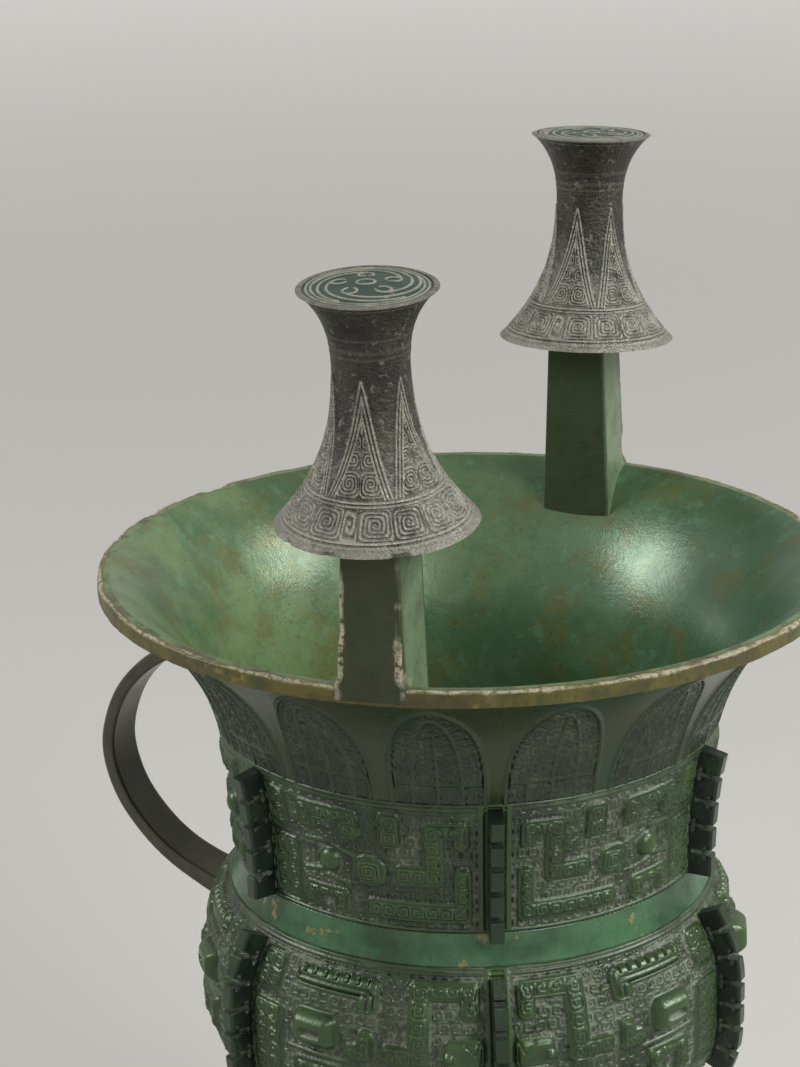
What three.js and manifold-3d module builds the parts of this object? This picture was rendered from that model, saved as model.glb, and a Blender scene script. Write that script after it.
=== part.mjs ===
// Bronze jia: a round ritual wine vessel with a trumpet mouth, two capped posts on the lip,
// a strap handle, notched flanges and three splayed legs with clay cores.
// Millimetres, +Z up. Depths are measured down from the rim, azimuths from -Y towards +X.

import * as THREE from 'three';
import { mergeVertices } from 'three/addons/utils/BufferGeometryUtils.js';
import Module from 'manifold-3d';

const wasm = await Module();
wasm.setup();

// Seat clearance between neighbouring castings
const GAP = 0.3;

// Vessel body
const RIM_HEIGHT = 380;
const RIM_RADIUS = 145;
const LIP_HEIGHT = 4.5;
const LIP_UNDERCUT = 5;
const LIP_BEVEL = 1;
const LIP_JOIN = 2;
const WALL = 4.5;
const NECK_RADIUS = 94.5;
const NECK_DEPTH = 112;
const FLARE_LENGTH = 34;
const SHOULDER_TOP = 117;
const BELLY_RADIUS = 107.5;
const BELLY_BAND = 12;
const BASE_HEIGHT = 54;
const BODY_DEPTH = 226;
const BELLY_DEPTH = BODY_DEPTH - BASE_HEIGHT;
const SHOULDER_BOTTOM = BELLY_DEPTH - BELLY_BAND;
const BOTTOM_ROUNDNESS = 3;
const ROUND_SEGMENTS = 48;

// Flanges on the mould seams
const FLANGE_THICKNESS = 5.5;
const FLANGE_REACH = 10;
const FLANGE_ROOT = 1.5;
const NOTCH_DEPTH = 4.5;
const NOTCH_HEIGHT = 2.4;
const BLOCK_PITCH = 9.4;
const NECK_FLANGE_TOP = 64;
const WAIST_BAND = 17;
const FLANGE_BASE_MARGIN = 28;
const FLANGE_AZIMUTHS = [30, 90, 150, 210, 330];

// Masks on neck and belly, one to each mould section and the same on both sides of the nose. Each bar is given in
// degrees from the nose (from, to) and percent of the flange's span (top, bottom).
const MASK_AZIMUTHS = [90, 210, 330];
const NECK_RELIEF = 1.5;
const NECK_BARS = [
  [2.6, 9.8, 6, 38],
  [12.3, 29.4, 8, 33],
  [26.8, 35.2, 44, 68],
  [13.3, 25.8, 74, 94],
  [33.6, 39.5, 5, 35],
  [37, 48.8, 47, 64],
  [43.6, 48.8, 11, 64],
  [44, 54.5, 11, 25],
  [30, 55, 76, 92],
  [50.8, 55, 48, 92],
];
const NECK_EYE = { angle: 21, down: 53, radius: 5, height: 3.8 };
const BELLY_RELIEF = 2.2;
const BELLY_BARS = [
  [2.6, 10.5, 1, 26.5],
  [14, 35, 3, 16],
  [29.5, 35, 3, 23],
  [29, 34.3, 31.5, 53],
  [41.5, 56.3, 1, 12.5],
  [52, 56.3, 1, 23.5],
  [41, 46, 1, 52.5],
  [35.5, 46, 38, 52.5],
  [48.5, 57, 32, 52.5],
  [15, 27, 58.5, 83],
  [30.5, 57, 66, 84],
  [52.5, 57, 58, 84],
];
const BELLY_EYE = [15, 25.8, 27.5, 50];
const BELLY_EYE_RELIEF = 3.4;
const BAR_ROOT = 1.5;
const BAR_COLUMN = 11;
const BAR_ROW = 20;
const EYE_SEGMENTS = 8;

// Handle strap: outer face as distance from the vessel axis and share of the way down between its roots
const HANDLE_AZIMUTH = 270;
const HANDLE_OUTLINE = [
  [122, 0.025],
  [141, 0.099],
  [157.5, 0.244],
  [165.5, 0.43],
  [163, 0.591],
  [153, 0.7355],
  [134.5, 0.872],
];
const HANDLE_TOP_DEPTH = 45;
const HANDLE_BELLY_RISE = 6;
const HANDLE_BOTTOM_DEPTH = BELLY_DEPTH - HANDLE_BELLY_RISE;
const HANDLE_SINK = 5;
const HANDLE_WIDTH = 20;
const HANDLE_THICKNESS = 5.5;
const HANDLE_ROOT_THICKNESS = 9.5;
const HANDLE_ROOT_WIDTH = 24;
const HANDLE_CHAMFER = 1.4;
const HANDLE_STATIONS = 22;
const HANDLE_STUB = { width: 10, height: 3.6, length: 6 };
const HANDLE_STUB_INSET = { top: 5.5, bottom: 8.5 };
const HANDLE_FLANGE_CLEARANCE = 6;
const HANDLE_BED = { above: 22, below: 8, margin: 1.5 };

// Posts on the lip
const POST_AZIMUTHS = { post_front: 10.7, post_rear: 181 };
const POST_HEIGHT = 58.2;
const POST_SECTION_DEPTH = 27;
const POST_BATTER = 3.5;
const POST_OUTER_WIDTH = { foot: 24, top: 21 };
const POST_INNER_WIDTH = { foot: 30, top: 25 };
const POST_FOOT_DEPTH = 30;
const POST_TENON = { width: 12, depth: 10, height: 30, root: 4 };

// Caps on the posts
const CAP_STANDOFF = 15;
const CAP_LEAN = 3.96;
const CAP_HEIGHT = 85.7;
const CAP_BASE_RADIUS = 36.5;
const CAP_WAIST_RADIUS = 14.4;
const CAP_WAIST_HEIGHT = 55;
const CAP_TOP_RADIUS = 25.2;
const CAP_EDGE = 1.5;
const CAP_WALL = 3.2;
const CAP_LOWER_POWER = 2.3;
const CAP_UPPER_POWER = 2.9;
const CAP_CORE_HEIGHT = 46;
const CAP_SEGMENTS = 32;

// Legs
const LEG_AZIMUTHS = { leg_front: 30, leg_rear: 150, leg_handle_side: 270 };
const LEG_TUCK = 9.5;
const LEG_BODY_OVERLAP = 30;
const LEG_OVERRUN = 10;
const LEG_SPLAY = 21;
const LEG_SPLAY_POWER = 1.5;
const LEG_OUTER_WIDTH = { top: 44, foot: 17 };
const LEG_INNER_WIDTH = { top: 18, foot: 8 };
const LEG_SECTION_DEPTH = { top: 34, foot: 13 };
const LEG_STATIONS = 7;
const LEG_WALL = 3.5;
const LEG_CORE_COVER = 18;
const LEG_CORE_BOTTOM = 44;
const LEG_CORE_SETBACK = 1;
const LEG_STUB = { width: 13, depth: 12, length: 9, root: 14 };

// Bronze spacers cast into the floor
const SPACER_SIDE = 9;
const SPACER_RADIUS = 38;
const SPACER_THICKNESS = 2.2;
const SPACER_RECESS = 3;
const SPACER_AZIMUTHS = [30, 150, 270];

// How far a cutting body runs past what it cuts
const OVERCUT = 3;

// The origin is the middle of the resting box, so the axis stands off it by half the handle's overhang
const HANDLE_REACH = Math.max(...HANDLE_OUTLINE.map(([radius]) => radius));
const AXIS_OFFSET = (HANDLE_REACH - RIM_RADIUS) / 2;

const POST_INNER_RADIUS = RIM_RADIUS - POST_SECTION_DEPTH;
const CAP_AXIS_RADIUS = RIM_RADIUS - CAP_STANDOFF;
const LEG_TOP_RADIUS = BELLY_RADIUS - LEG_TUCK;
const LEG_TOP_HEIGHT = RIM_HEIGHT - BODY_DEPTH + LEG_BODY_OVERLAP;
const BODY_BOTTOM = RIM_HEIGHT - BODY_DEPTH;
const FLANGE_BOTTOM = BODY_DEPTH - FLANGE_BASE_MARGIN;
const NECK_FLANGE = { top: NECK_FLANGE_TOP, bottom: SHOULDER_TOP };
const BELLY_FLANGE = { top: SHOULDER_TOP + WAIST_BAND, bottom: FLANGE_BOTTOM };
const SHORT_FLANGE = { top: HANDLE_BOTTOM_DEPTH + HANDLE_FLANGE_CLEARANCE, bottom: FLANGE_BOTTOM };
const HANDLE_STUB_DEPTHS = [
  HANDLE_TOP_DEPTH + HANDLE_STUB_INSET.top,
  HANDLE_BOTTOM_DEPTH - HANDLE_STUB_INSET.bottom,
];

const deg = THREE.MathUtils.degToRad;
const lerp = THREE.MathUtils.lerp;

// Closed triangle mesh to a solid, with its faces turned outwards
function toSolid(geometry) {
  let clean = geometry.clone();
  clean.deleteAttribute('normal');
  clean.deleteAttribute('uv');
  clean = mergeVertices(clean, 1e-4);
  const position = clean.getAttribute('position');
  const index = Array.from(clean.index.array);
  const corners = [new THREE.Vector3(), new THREE.Vector3(), new THREE.Vector3()];
  const faces = [];
  let volume = 0;
  for (let i = 0; i < index.length; i += 3) {
    const face = index.slice(i, i + 3);
    if (new Set(face).size < 3) continue;
    corners.forEach((corner, k) => corner.fromBufferAttribute(position, face[k]));
    volume += corners[0].dot(corners[1].clone().cross(corners[2]));
    faces.push(face);
  }
  const outward = volume > 0 ? faces : faces.map(([a, b, c]) => [a, c, b]);
  return new wasm.Manifold(new wasm.Mesh({
    numProp: 3,
    vertProperties: new Float32Array(position.array),
    triVerts: new Uint32Array(outward.flat()),
  }));
}

function toGeometry(solid) {
  const mesh = solid.getMesh();
  const geometry = new THREE.BufferGeometry();
  geometry.setAttribute('position', new THREE.BufferAttribute(mesh.vertProperties, 3));
  geometry.setIndex(new THREE.BufferAttribute(mesh.triVerts, 1));
  geometry.computeVertexNormals();
  return geometry;
}

// Solid of revolution about +Z from [radius, height] points that start and end on the axis
function revolve(profile, segments) {
  const points = profile.map(([radius, height]) => new THREE.Vector2(radius, height));
  const geometry = new THREE.LatheGeometry(points, segments);
  geometry.rotateX(Math.PI / 2);
  return toSolid(geometry);
}

// Rings of equal point counts joined into one closed skin, with flat convex ends
function loft(rings) {
  const count = rings[0].length;
  const vertices = rings.flat().flatMap((point) => [point.x, point.y, point.z]);
  const faces = [];
  for (let ring = 0; ring + 1 < rings.length; ring += 1) {
    for (let k = 0; k < count; k += 1) {
      const a = ring * count + k;
      const b = ring * count + ((k + 1) % count);
      faces.push(a, b, b + count, a, b + count, a + count);
    }
  }
  const last = (rings.length - 1) * count;
  for (let k = 1; k + 1 < count; k += 1) {
    faces.push(0, k + 1, k, last, last + k, last + k + 1);
  }
  const geometry = new THREE.BufferGeometry();
  geometry.setAttribute('position', new THREE.Float32BufferAttribute(vertices, 3));
  geometry.setIndex(faces);
  return toSolid(geometry);
}

function block(width, depth, height, x, y, z) {
  const geometry = new THREE.BoxGeometry(width, depth, height);
  geometry.translate(x, y, z);
  return toSolid(geometry);
}

function turned(solid, azimuth) {
  return toSolid(toGeometry(solid).rotateZ(deg(azimuth)));
}

// Outer radius of the body at a depth: catenary flare, cosine shoulder, superelliptic bottom
function outerRadius(depth) {
  if (depth < NECK_DEPTH) {
    const rise = Math.cosh((NECK_DEPTH - depth) / FLARE_LENGTH) - 1;
    const lipRise = Math.cosh((NECK_DEPTH - LIP_HEIGHT) / FLARE_LENGTH) - 1;
    return NECK_RADIUS + (RIM_RADIUS - LIP_UNDERCUT - NECK_RADIUS) * rise / lipRise;
  }
  if (depth < BELLY_DEPTH) {
    const t = THREE.MathUtils.clamp((depth - SHOULDER_TOP) / (SHOULDER_BOTTOM - SHOULDER_TOP), 0, 1);
    return lerp(NECK_RADIUS, BELLY_RADIUS, (1 - Math.cos(Math.PI * t)) / 2);
  }
  const t = Math.min((depth - BELLY_DEPTH) / (BODY_DEPTH - BELLY_DEPTH), 1);
  return BELLY_RADIUS * (1 - t ** BOTTOM_ROUNDNESS) ** (1 / BOTTOM_ROUNDNESS);
}

// Point at a distance outside (or, when negative, inside) the outer face, as [radius, height]
function facePoint(depth, reach) {
  const step = 0.01;
  const slope = (outerRadius(depth + step) - outerRadius(depth - step)) / (2 * step);
  const length = Math.hypot(1, slope);
  return [outerRadius(depth) + reach / length, RIM_HEIGHT - depth + (reach * slope) / length];
}

// Same for the rounded bottom, by angle from the belly (0) to the axis (90)
function bottomPoint(angle, reach) {
  const power = 2 / BOTTOM_ROUNDNESS;
  const across = Math.cos(deg(angle));
  const down = Math.sin(deg(angle));
  const radius = BELLY_RADIUS * across ** power;
  const drop = (BODY_DEPTH - BELLY_DEPTH) * down ** power;
  const normalRadial = across ** (2 - power) / BELLY_RADIUS;
  const normalDown = down ** (2 - power) / (BODY_DEPTH - BELLY_DEPTH);
  const length = Math.hypot(normalRadial, normalDown);
  return [
    Math.max(radius + (reach * normalRadial) / length, 0),
    RIM_HEIGHT - BELLY_DEPTH - drop - (reach * normalDown) / length,
  ];
}

function depthsBetween(from, to, steps) {
  return Array.from({ length: steps + 1 }, (_, i) => lerp(from, to, i / steps));
}

// Wall profile at a distance from the outer face, from under the lip down to the axis
function wallLine(start, reach, flareSteps, shoulderSteps, bottomAngles) {
  const flare = depthsBetween(0, 1, flareSteps).map((t) => lerp(start, NECK_DEPTH, t ** 1.5));
  const shoulder = depthsBetween(SHOULDER_TOP, SHOULDER_BOTTOM, shoulderSteps);
  return [
    ...[...flare, ...shoulder, BELLY_DEPTH].map((depth) => facePoint(depth, reach)),
    ...bottomAngles.map((angle) => bottomPoint(angle, reach)),
    [0, RIM_HEIGHT - BODY_DEPTH - reach],
  ];
}

const LIP_JOIN_DEPTH = LIP_HEIGHT + LIP_JOIN;
const INNER_FLARE_STEPS = 7;
const outerLine = (reach) => wallLine(LIP_JOIN_DEPTH, reach, 9, 6, [10, 25, 40, 56, 73]);
const innerLine = (reach) => wallLine(LIP_JOIN_DEPTH, reach, INNER_FLARE_STEPS, 4, [14, 34, 58]);
const INNER_LINE = innerLine(-WALL);

// Everything that the body fills from outside, grown by the seat clearance
const ENVELOPE_LINE = outerLine(GAP);
const bodyEnvelope = revolve([[0, ENVELOPE_LINE[0][1]], ...ENVELOPE_LINE], ROUND_SEGMENTS);

// Everything under the flare's inner face and the notches for the posts, grown by the seat clearance
const NOTCH_FLOOR = RIM_HEIGHT - LIP_HEIGHT;
const flareLine = innerLine(-WALL - GAP).slice(0, INNER_FLARE_STEPS + 1);
const flareBottom = RIM_HEIGHT - NECK_DEPTH;
const flareEnvelope = revolve([
  [flareLine[INNER_FLARE_STEPS][0], flareBottom - OVERCUT],
  ...flareLine.reverse(),
  [RIM_RADIUS - LIP_UNDERCUT - WALL, NOTCH_FLOOR + GAP],
  [RIM_RADIUS + OVERCUT, NOTCH_FLOOR + GAP],
  [RIM_RADIUS + OVERCUT, flareBottom - OVERCUT],
  [flareLine[0][0], flareBottom - OVERCUT],
], ROUND_SEGMENTS);

// Flange outline: inner edge along the body, outer edge with evenly spaced notches
function flangeSolid({ top, bottom }, grow) {
  const root = -FLANGE_ROOT - grow;
  const blocks = Math.max(Math.floor((bottom - top + NOTCH_HEIGHT) / BLOCK_PITCH), 1);
  const inner = depthsBetween(bottom + grow, top - grow, blocks + 1).map((depth) => facePoint(depth, root));
  const pitch = (bottom - top + NOTCH_HEIGHT) / blocks;
  const outer = [facePoint(top - grow, FLANGE_REACH)];
  for (let i = 1; i < blocks; i += 1) {
    const end = top + i * pitch;
    outer.push(facePoint(end - NOTCH_HEIGHT, FLANGE_REACH));
    if (grow === 0) {
      outer.push(facePoint(end - NOTCH_HEIGHT, FLANGE_REACH - NOTCH_DEPTH));
      outer.push(facePoint(end, FLANGE_REACH - NOTCH_DEPTH));
    }
    outer.push(facePoint(end, FLANGE_REACH));
  }
  outer.push(facePoint(bottom + grow, FLANGE_REACH));
  const shape = new THREE.Shape([...inner, ...outer].map(([r, z]) => new THREE.Vector2(r, z)));
  const thickness = FLANGE_THICKNESS + 2 * grow;
  const geometry = new THREE.ExtrudeGeometry(shape, { depth: thickness, bevelEnabled: false });
  geometry.translate(0, 0, -thickness / 2);
  geometry.applyMatrix4(new THREE.Matrix4().makeBasis(
    new THREE.Vector3(0, -1, 0),
    new THREE.Vector3(0, 0, 1),
    new THREE.Vector3(-1, 0, 0),
  ));
  return toSolid(geometry);
}

// Handle strap swept along its outline, thicker and wider at both roots
function handleSolid() {
  const outline = [
    [outerRadius(HANDLE_TOP_DEPTH) - HANDLE_SINK, HANDLE_TOP_DEPTH],
    ...HANDLE_OUTLINE.map(([radius, share]) => [radius, lerp(HANDLE_TOP_DEPTH, HANDLE_BOTTOM_DEPTH, share)]),
    [outerRadius(HANDLE_BOTTOM_DEPTH) - HANDLE_SINK, HANDLE_BOTTOM_DEPTH],
  ];
  const points = outline.map(([radius, depth]) => new THREE.Vector2(radius, RIM_HEIGHT - depth));
  const curve = new THREE.SplineCurve(points);
  const rings = [];
  for (let i = 0; i <= HANDLE_STATIONS; i += 1) {
    const t = i / HANDLE_STATIONS;
    const root = Math.abs(2 * t - 1) ** 4;
    const half = lerp(HANDLE_WIDTH, HANDLE_ROOT_WIDTH, root) / 2;
    const thick = lerp(HANDLE_THICKNESS, HANDLE_ROOT_THICKNESS, root);
    const point = curve.getPointAt(t);
    const along = curve.getTangentAt(t);
    const inward = new THREE.Vector2(along.y, -along.x);
    const chamfer = HANDLE_CHAMFER;
    const section = [
      [half - chamfer, 0],
      [half, chamfer],
      [half, thick - chamfer],
      [half - chamfer, thick],
      [chamfer - half, thick],
      [-half, thick - chamfer],
      [-half, chamfer],
      [chamfer - half, 0],
    ];
    rings.push(section.map(([across, depth]) => {
      const radius = point.x + inward.x * depth;
      return new THREE.Vector3(across, -radius, point.y + inward.y * depth);
    }));
  }
  return loft(rings);
}

function handleStub(depth, grow) {
  const length = HANDLE_STUB.length + WALL / 2 + grow;
  const start = outerRadius(depth) - WALL / 2;
  return block(
    HANDLE_STUB.width + 2 * grow,
    length,
    HANDLE_STUB.height + 2 * grow,
    0,
    -(start + length / 2),
    RIM_HEIGHT - depth,
  );
}

// Post: trapezoid section, outer face flush with the lip, foot down to the flare's inner face
function postBlank(azimuth, grow, footDepth) {
  const overcut = grow > 0 ? OVERCUT : 0;
  const rings = [-footDepth, 0, POST_HEIGHT + OVERCUT].map((height) => {
    const t = Math.max(height, 0) / POST_HEIGHT;
    const outer = RIM_RADIUS - POST_BATTER * t + overcut;
    const outerHalf = lerp(POST_OUTER_WIDTH.foot, POST_OUTER_WIDTH.top, t) / 2 + grow;
    const innerHalf = lerp(POST_INNER_WIDTH.foot, POST_INNER_WIDTH.top, t) / 2 + grow;
    const inner = POST_INNER_RADIUS - grow;
    return [
      new THREE.Vector3(-outerHalf, -outer, RIM_HEIGHT + height),
      new THREE.Vector3(outerHalf, -outer, RIM_HEIGHT + height),
      new THREE.Vector3(innerHalf, -inner, RIM_HEIGHT + height),
      new THREE.Vector3(-innerHalf, -inner, RIM_HEIGHT + height),
    ];
  });
  return turned(loft(rings), azimuth);
}

// Matrix that carries cap coordinates (axis +Z, base at 0) onto its post
function capMatrix(azimuth) {
  const matrix = new THREE.Matrix4().makeRotationZ(deg(azimuth));
  matrix.multiply(new THREE.Matrix4().makeTranslation(0, -CAP_AXIS_RADIUS, RIM_HEIGHT + POST_HEIGHT));
  return matrix.multiply(new THREE.Matrix4().makeRotationX(deg(CAP_LEAN)));
}

function placed(solid, matrix) {
  return toSolid(toGeometry(solid).applyMatrix4(matrix));
}

function capTenon(grow) {
  const height = POST_TENON.height + grow;
  return block(
    POST_TENON.width + 2 * grow,
    POST_TENON.depth + 2 * grow,
    height + POST_TENON.root,
    0,
    0,
    (height - POST_TENON.root) / 2,
  );
}

function postSolid(azimuth) {
  const matrix = capMatrix(azimuth);
  const reach = 2 * (POST_SECTION_DEPTH + POST_INNER_WIDTH.foot);
  const above = placed(block(reach, reach, CAP_HEIGHT, 0, 0, CAP_HEIGHT / 2 - GAP), matrix);
  const shaft = postBlank(azimuth, 0, POST_FOOT_DEPTH).subtract(flareEnvelope).subtract(above);
  return shaft.add(placed(capTenon(0), matrix));
}

// Cap radius at a height over its base: two power curves that meet at the waist
function capRadius(height) {
  if (height < CAP_WAIST_HEIGHT) {
    const t = (CAP_WAIST_HEIGHT - height) / CAP_WAIST_HEIGHT;
    return CAP_WAIST_RADIUS + (CAP_BASE_RADIUS - CAP_WAIST_RADIUS) * t ** CAP_LOWER_POWER;
  }
  const t = (height - CAP_WAIST_HEIGHT) / (CAP_HEIGHT - CAP_WAIST_HEIGHT);
  return CAP_WAIST_RADIUS + (CAP_TOP_RADIUS - CAP_WAIST_RADIUS) * t ** CAP_UPPER_POWER;
}

const CAP_LOWER_HEIGHTS = depthsBetween(CAP_EDGE, CAP_WAIST_HEIGHT, 8);
const CAP_UPPER_HEIGHTS = depthsBetween(CAP_WAIST_HEIGHT, CAP_HEIGHT - CAP_EDGE, 5).slice(1);
const CAP_CORE_LINE = depthsBetween(0, CAP_CORE_HEIGHT, 5);

function capSolid() {
  const hollow = CAP_CORE_LINE.map((height) => [capRadius(height) - CAP_WALL, height]);
  return revolve([
    [0, CAP_CORE_HEIGHT],
    ...hollow.reverse(),
    [CAP_BASE_RADIUS, 0],
    ...[...CAP_LOWER_HEIGHTS, ...CAP_UPPER_HEIGHTS].map((height) => [capRadius(height), height]),
    [CAP_TOP_RADIUS, CAP_HEIGHT - CAP_EDGE / 2],
    [CAP_TOP_RADIUS - CAP_EDGE, CAP_HEIGHT],
    [0, CAP_HEIGHT],
  ], CAP_SEGMENTS);
}

function capCoreSolid() {
  const side = CAP_CORE_LINE.slice(0, -1).map((height) => [capRadius(height) - CAP_WALL - GAP, height]);
  const core = revolve([
    [0, 0],
    ...side,
    [capRadius(CAP_CORE_HEIGHT) - CAP_WALL - GAP, CAP_CORE_HEIGHT - GAP],
    [0, CAP_CORE_HEIGHT - GAP],
  ], CAP_SEGMENTS);
  return core.subtract(capTenon(GAP));
}

// Leg section at a height: flat outer face, narrower inner edge, splayed outwards to the foot
function legSection(height, inset, setback) {
  const t = Math.max(1 - height / LEG_TOP_HEIGHT, 0);
  const outer = LEG_TOP_RADIUS + LEG_SPLAY * t ** LEG_SPLAY_POWER;
  const outerHalf = lerp(LEG_OUTER_WIDTH.top, LEG_OUTER_WIDTH.foot, t) / 2;
  const innerHalf = lerp(LEG_INNER_WIDTH.top, LEG_INNER_WIDTH.foot, t) / 2;
  const deep = lerp(LEG_SECTION_DEPTH.top, LEG_SECTION_DEPTH.foot, t);
  const flankInset = inset * Math.hypot(1, (outerHalf - innerHalf) / deep);
  const at = (depth) => lerp(outerHalf, innerHalf, depth / deep) - flankInset;
  const near = inset;
  const far = deep - setback;
  return [
    new THREE.Vector3(-at(near), -(outer - near), height),
    new THREE.Vector3(at(near), -(outer - near), height),
    new THREE.Vector3(at(far), -(outer - far), height),
    new THREE.Vector3(-at(far), -(outer - far), height),
  ];
}

function legStub(grow) {
  const bottom = BODY_BOTTOM - LEG_STUB.length - grow;
  const top = BODY_BOTTOM + LEG_STUB.root;
  const middle = LEG_TOP_RADIUS - LEG_SECTION_DEPTH.top / 2;
  return block(
    LEG_STUB.width + 2 * grow,
    LEG_STUB.depth + 2 * grow,
    top - bottom,
    0,
    -middle,
    (top + bottom) / 2,
  );
}

function legChannel(inset, setback, trim) {
  const heights = depthsBetween(LEG_CORE_BOTTOM + trim, BODY_BOTTOM - LEG_CORE_COVER - trim, 4);
  return loft(heights.map((height) => legSection(height, inset, setback)));
}

function legSolid() {
  const heights = depthsBetween(0, LEG_TOP_HEIGHT + LEG_OVERRUN, LEG_STATIONS);
  const blank = loft(heights.map((height) => legSection(height, 0, 0)));
  const channel = legChannel(LEG_WALL, -OVERCUT, 0);
  return blank.subtract(bodyEnvelope).subtract(legStub(GAP)).subtract(channel);
}

function legCoreSolid() {
  return legChannel(LEG_WALL + GAP, LEG_CORE_SETBACK, GAP);
}

// Floor spacers: square plates let into the underside of the floor
function spacerBlock(azimuth, grow) {
  const top = BODY_BOTTOM + SPACER_RECESS + grow;
  const overcut = grow > 0 ? OVERCUT : 0;
  const bottom = BODY_BOTTOM + SPACER_RECESS - SPACER_THICKNESS - overcut;
  const side = SPACER_SIDE + 2 * grow;
  return turned(block(side, side, top - bottom, 0, -SPACER_RADIUS, (top + bottom) / 2), azimuth);
}

// Raised bar on the wall: its back is sunk in the wall and its face stands out by the reach
function barSolid([from, to, top, bottom], span, reach) {
  const [start, end] = [top, bottom].map((percent) => lerp(span.top, span.bottom, percent / 100));
  const face = depthsBetween(start, end, Math.ceil((end - start) / BAR_ROW));
  const outline = [
    facePoint(start, -BAR_ROOT),
    ...face.map((depth) => facePoint(depth, reach)),
    facePoint(end, -BAR_ROOT),
  ];
  const angles = depthsBetween(from, to, Math.ceil((to - from) / BAR_COLUMN)).map(deg);
  return loft(angles.map((angle) => outline.map(([radius, height]) => (
    new THREE.Vector3(radius * Math.sin(angle), -radius * Math.cos(angle), height)))));
}

// Domed eye, half sunk in the wall
function eyeSolid({ angle, down, radius, height }, span) {
  const [distance, level] = facePoint(lerp(span.top, span.bottom, down / 100), 0);
  const geometry = new THREE.SphereGeometry(radius, EYE_SEGMENTS, EYE_SEGMENTS / 2);
  geometry.scale(1, height / radius, 1);
  geometry.translate(0, -distance, level);
  return turned(toSolid(geometry), angle);
}

// The masks' main bars on both sides of each nose, kept clear of the handle's lower root
function reliefSolid() {
  const half = [
    ...NECK_BARS.map((bar) => barSolid(bar, NECK_FLANGE, NECK_RELIEF)),
    ...BELLY_BARS.map((bar) => barSolid(bar, BELLY_FLANGE, BELLY_RELIEF)),
    barSolid(BELLY_EYE, BELLY_FLANGE, BELLY_EYE_RELIEF),
    eyeSolid(NECK_EYE, NECK_FLANGE),
  ].reduce((sum, piece) => sum.add(piece));
  const other = toSolid(toGeometry(half).scale(-1, 1, 1));
  const mask = half.add(other);
  const relief = MASK_AZIMUTHS.map((azimuth) => turned(mask, azimuth)).reduce((sum, piece) => sum.add(piece));
  const bedTop = HANDLE_BOTTOM_DEPTH - HANDLE_BED.above;
  const bedHeight = HANDLE_BED.above + HANDLE_BED.below;
  const bed = block(
    HANDLE_ROOT_WIDTH + 2 * HANDLE_BED.margin,
    BELLY_RADIUS,
    bedHeight,
    0,
    -BELLY_RADIUS,
    RIM_HEIGHT - bedTop - bedHeight / 2,
  );
  return relief.subtract(turned(bed, HANDLE_AZIMUTH));
}

function bodySolid() {
  let body = revolve([
    [0, INNER_LINE[INNER_LINE.length - 1][1]],
    ...INNER_LINE.slice(0, -1).reverse(),
    [RIM_RADIUS - LIP_UNDERCUT, RIM_HEIGHT],
    [RIM_RADIUS - LIP_BEVEL, RIM_HEIGHT],
    [RIM_RADIUS, RIM_HEIGHT - LIP_BEVEL],
    [RIM_RADIUS, NOTCH_FLOOR],
    ...outerLine(0),
  ], ROUND_SEGMENTS).add(reliefSolid());
  const neckGroove = flangeSolid(NECK_FLANGE, GAP);
  const bellyGroove = flangeSolid(BELLY_FLANGE, GAP);
  FLANGE_AZIMUTHS.forEach((azimuth) => {
    body = body.subtract(turned(neckGroove, azimuth)).subtract(turned(bellyGroove, azimuth));
  });
  body = body.subtract(turned(flangeSolid(SHORT_FLANGE, GAP), HANDLE_AZIMUTH));
  Object.values(POST_AZIMUTHS).forEach((azimuth) => {
    body = body.subtract(postBlank(azimuth, GAP, LIP_HEIGHT));
  });
  HANDLE_STUB_DEPTHS.forEach((depth) => {
    body = body.add(turned(handleStub(depth, 0), HANDLE_AZIMUTH));
  });
  const inside = revolve([
    [0, RIM_HEIGHT],
    [INNER_LINE[0][0], RIM_HEIGHT],
    ...INNER_LINE,
  ], ROUND_SEGMENTS);
  Object.values(LEG_AZIMUTHS).forEach((azimuth) => {
    body = body.add(turned(legStub(0), azimuth).subtract(inside));
  });
  SPACER_AZIMUTHS.forEach((azimuth) => {
    body = body.subtract(spacerBlock(azimuth, GAP));
  });
  return body;
}

const bronze = (color, roughness) => new THREE.MeshStandardMaterial({ color, roughness, metalness: 0.6 });
const clay = new THREE.MeshStandardMaterial({ color: 0x7d6a52, roughness: 0.95, metalness: 0 });

const jia = new THREE.Group();
jia.name = 'jia';
const vessel = new THREE.Group();
vessel.name = 'vessel_axis';
vessel.position.x = AXIS_OFFSET;
jia.add(vessel);

function addPiece(name, solid, material, azimuth = 0) {
  const mesh = new THREE.Mesh(toGeometry(solid), material);
  mesh.name = name;
  mesh.rotation.z = deg(azimuth);
  vessel.add(mesh);
  return mesh;
}

addPiece('vessel_body', bodySolid(), bronze(0x4f6b52, 0.45));

const leg = legSolid();
const legCore = legCoreSolid();
Object.entries(LEG_AZIMUTHS).forEach(([name, azimuth]) => {
  addPiece(name, leg, bronze(0x3f4a3a, 0.5), azimuth);
  addPiece(`${name}_core`, legCore, clay, azimuth);
});

const cap = capSolid();
const capCore = capCoreSolid();
Object.entries(POST_AZIMUTHS).forEach(([name, azimuth]) => {
  const capName = name.replace('post', 'cap');
  addPiece(name, postSolid(azimuth), bronze(0x5a6048, 0.55));
  addPiece(capName, cap, bronze(0x2c302c, 0.35)).applyMatrix4(capMatrix(azimuth));
  addPiece(`${capName}_core`, capCore, clay).applyMatrix4(capMatrix(azimuth));
});

const handle = HANDLE_STUB_DEPTHS.reduce(
  (strap, depth) => strap.subtract(handleStub(depth, GAP)),
  handleSolid().subtract(bodyEnvelope),
);
addPiece('handle', handle, bronze(0x3d4030, 0.5), HANDLE_AZIMUTH);

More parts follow.
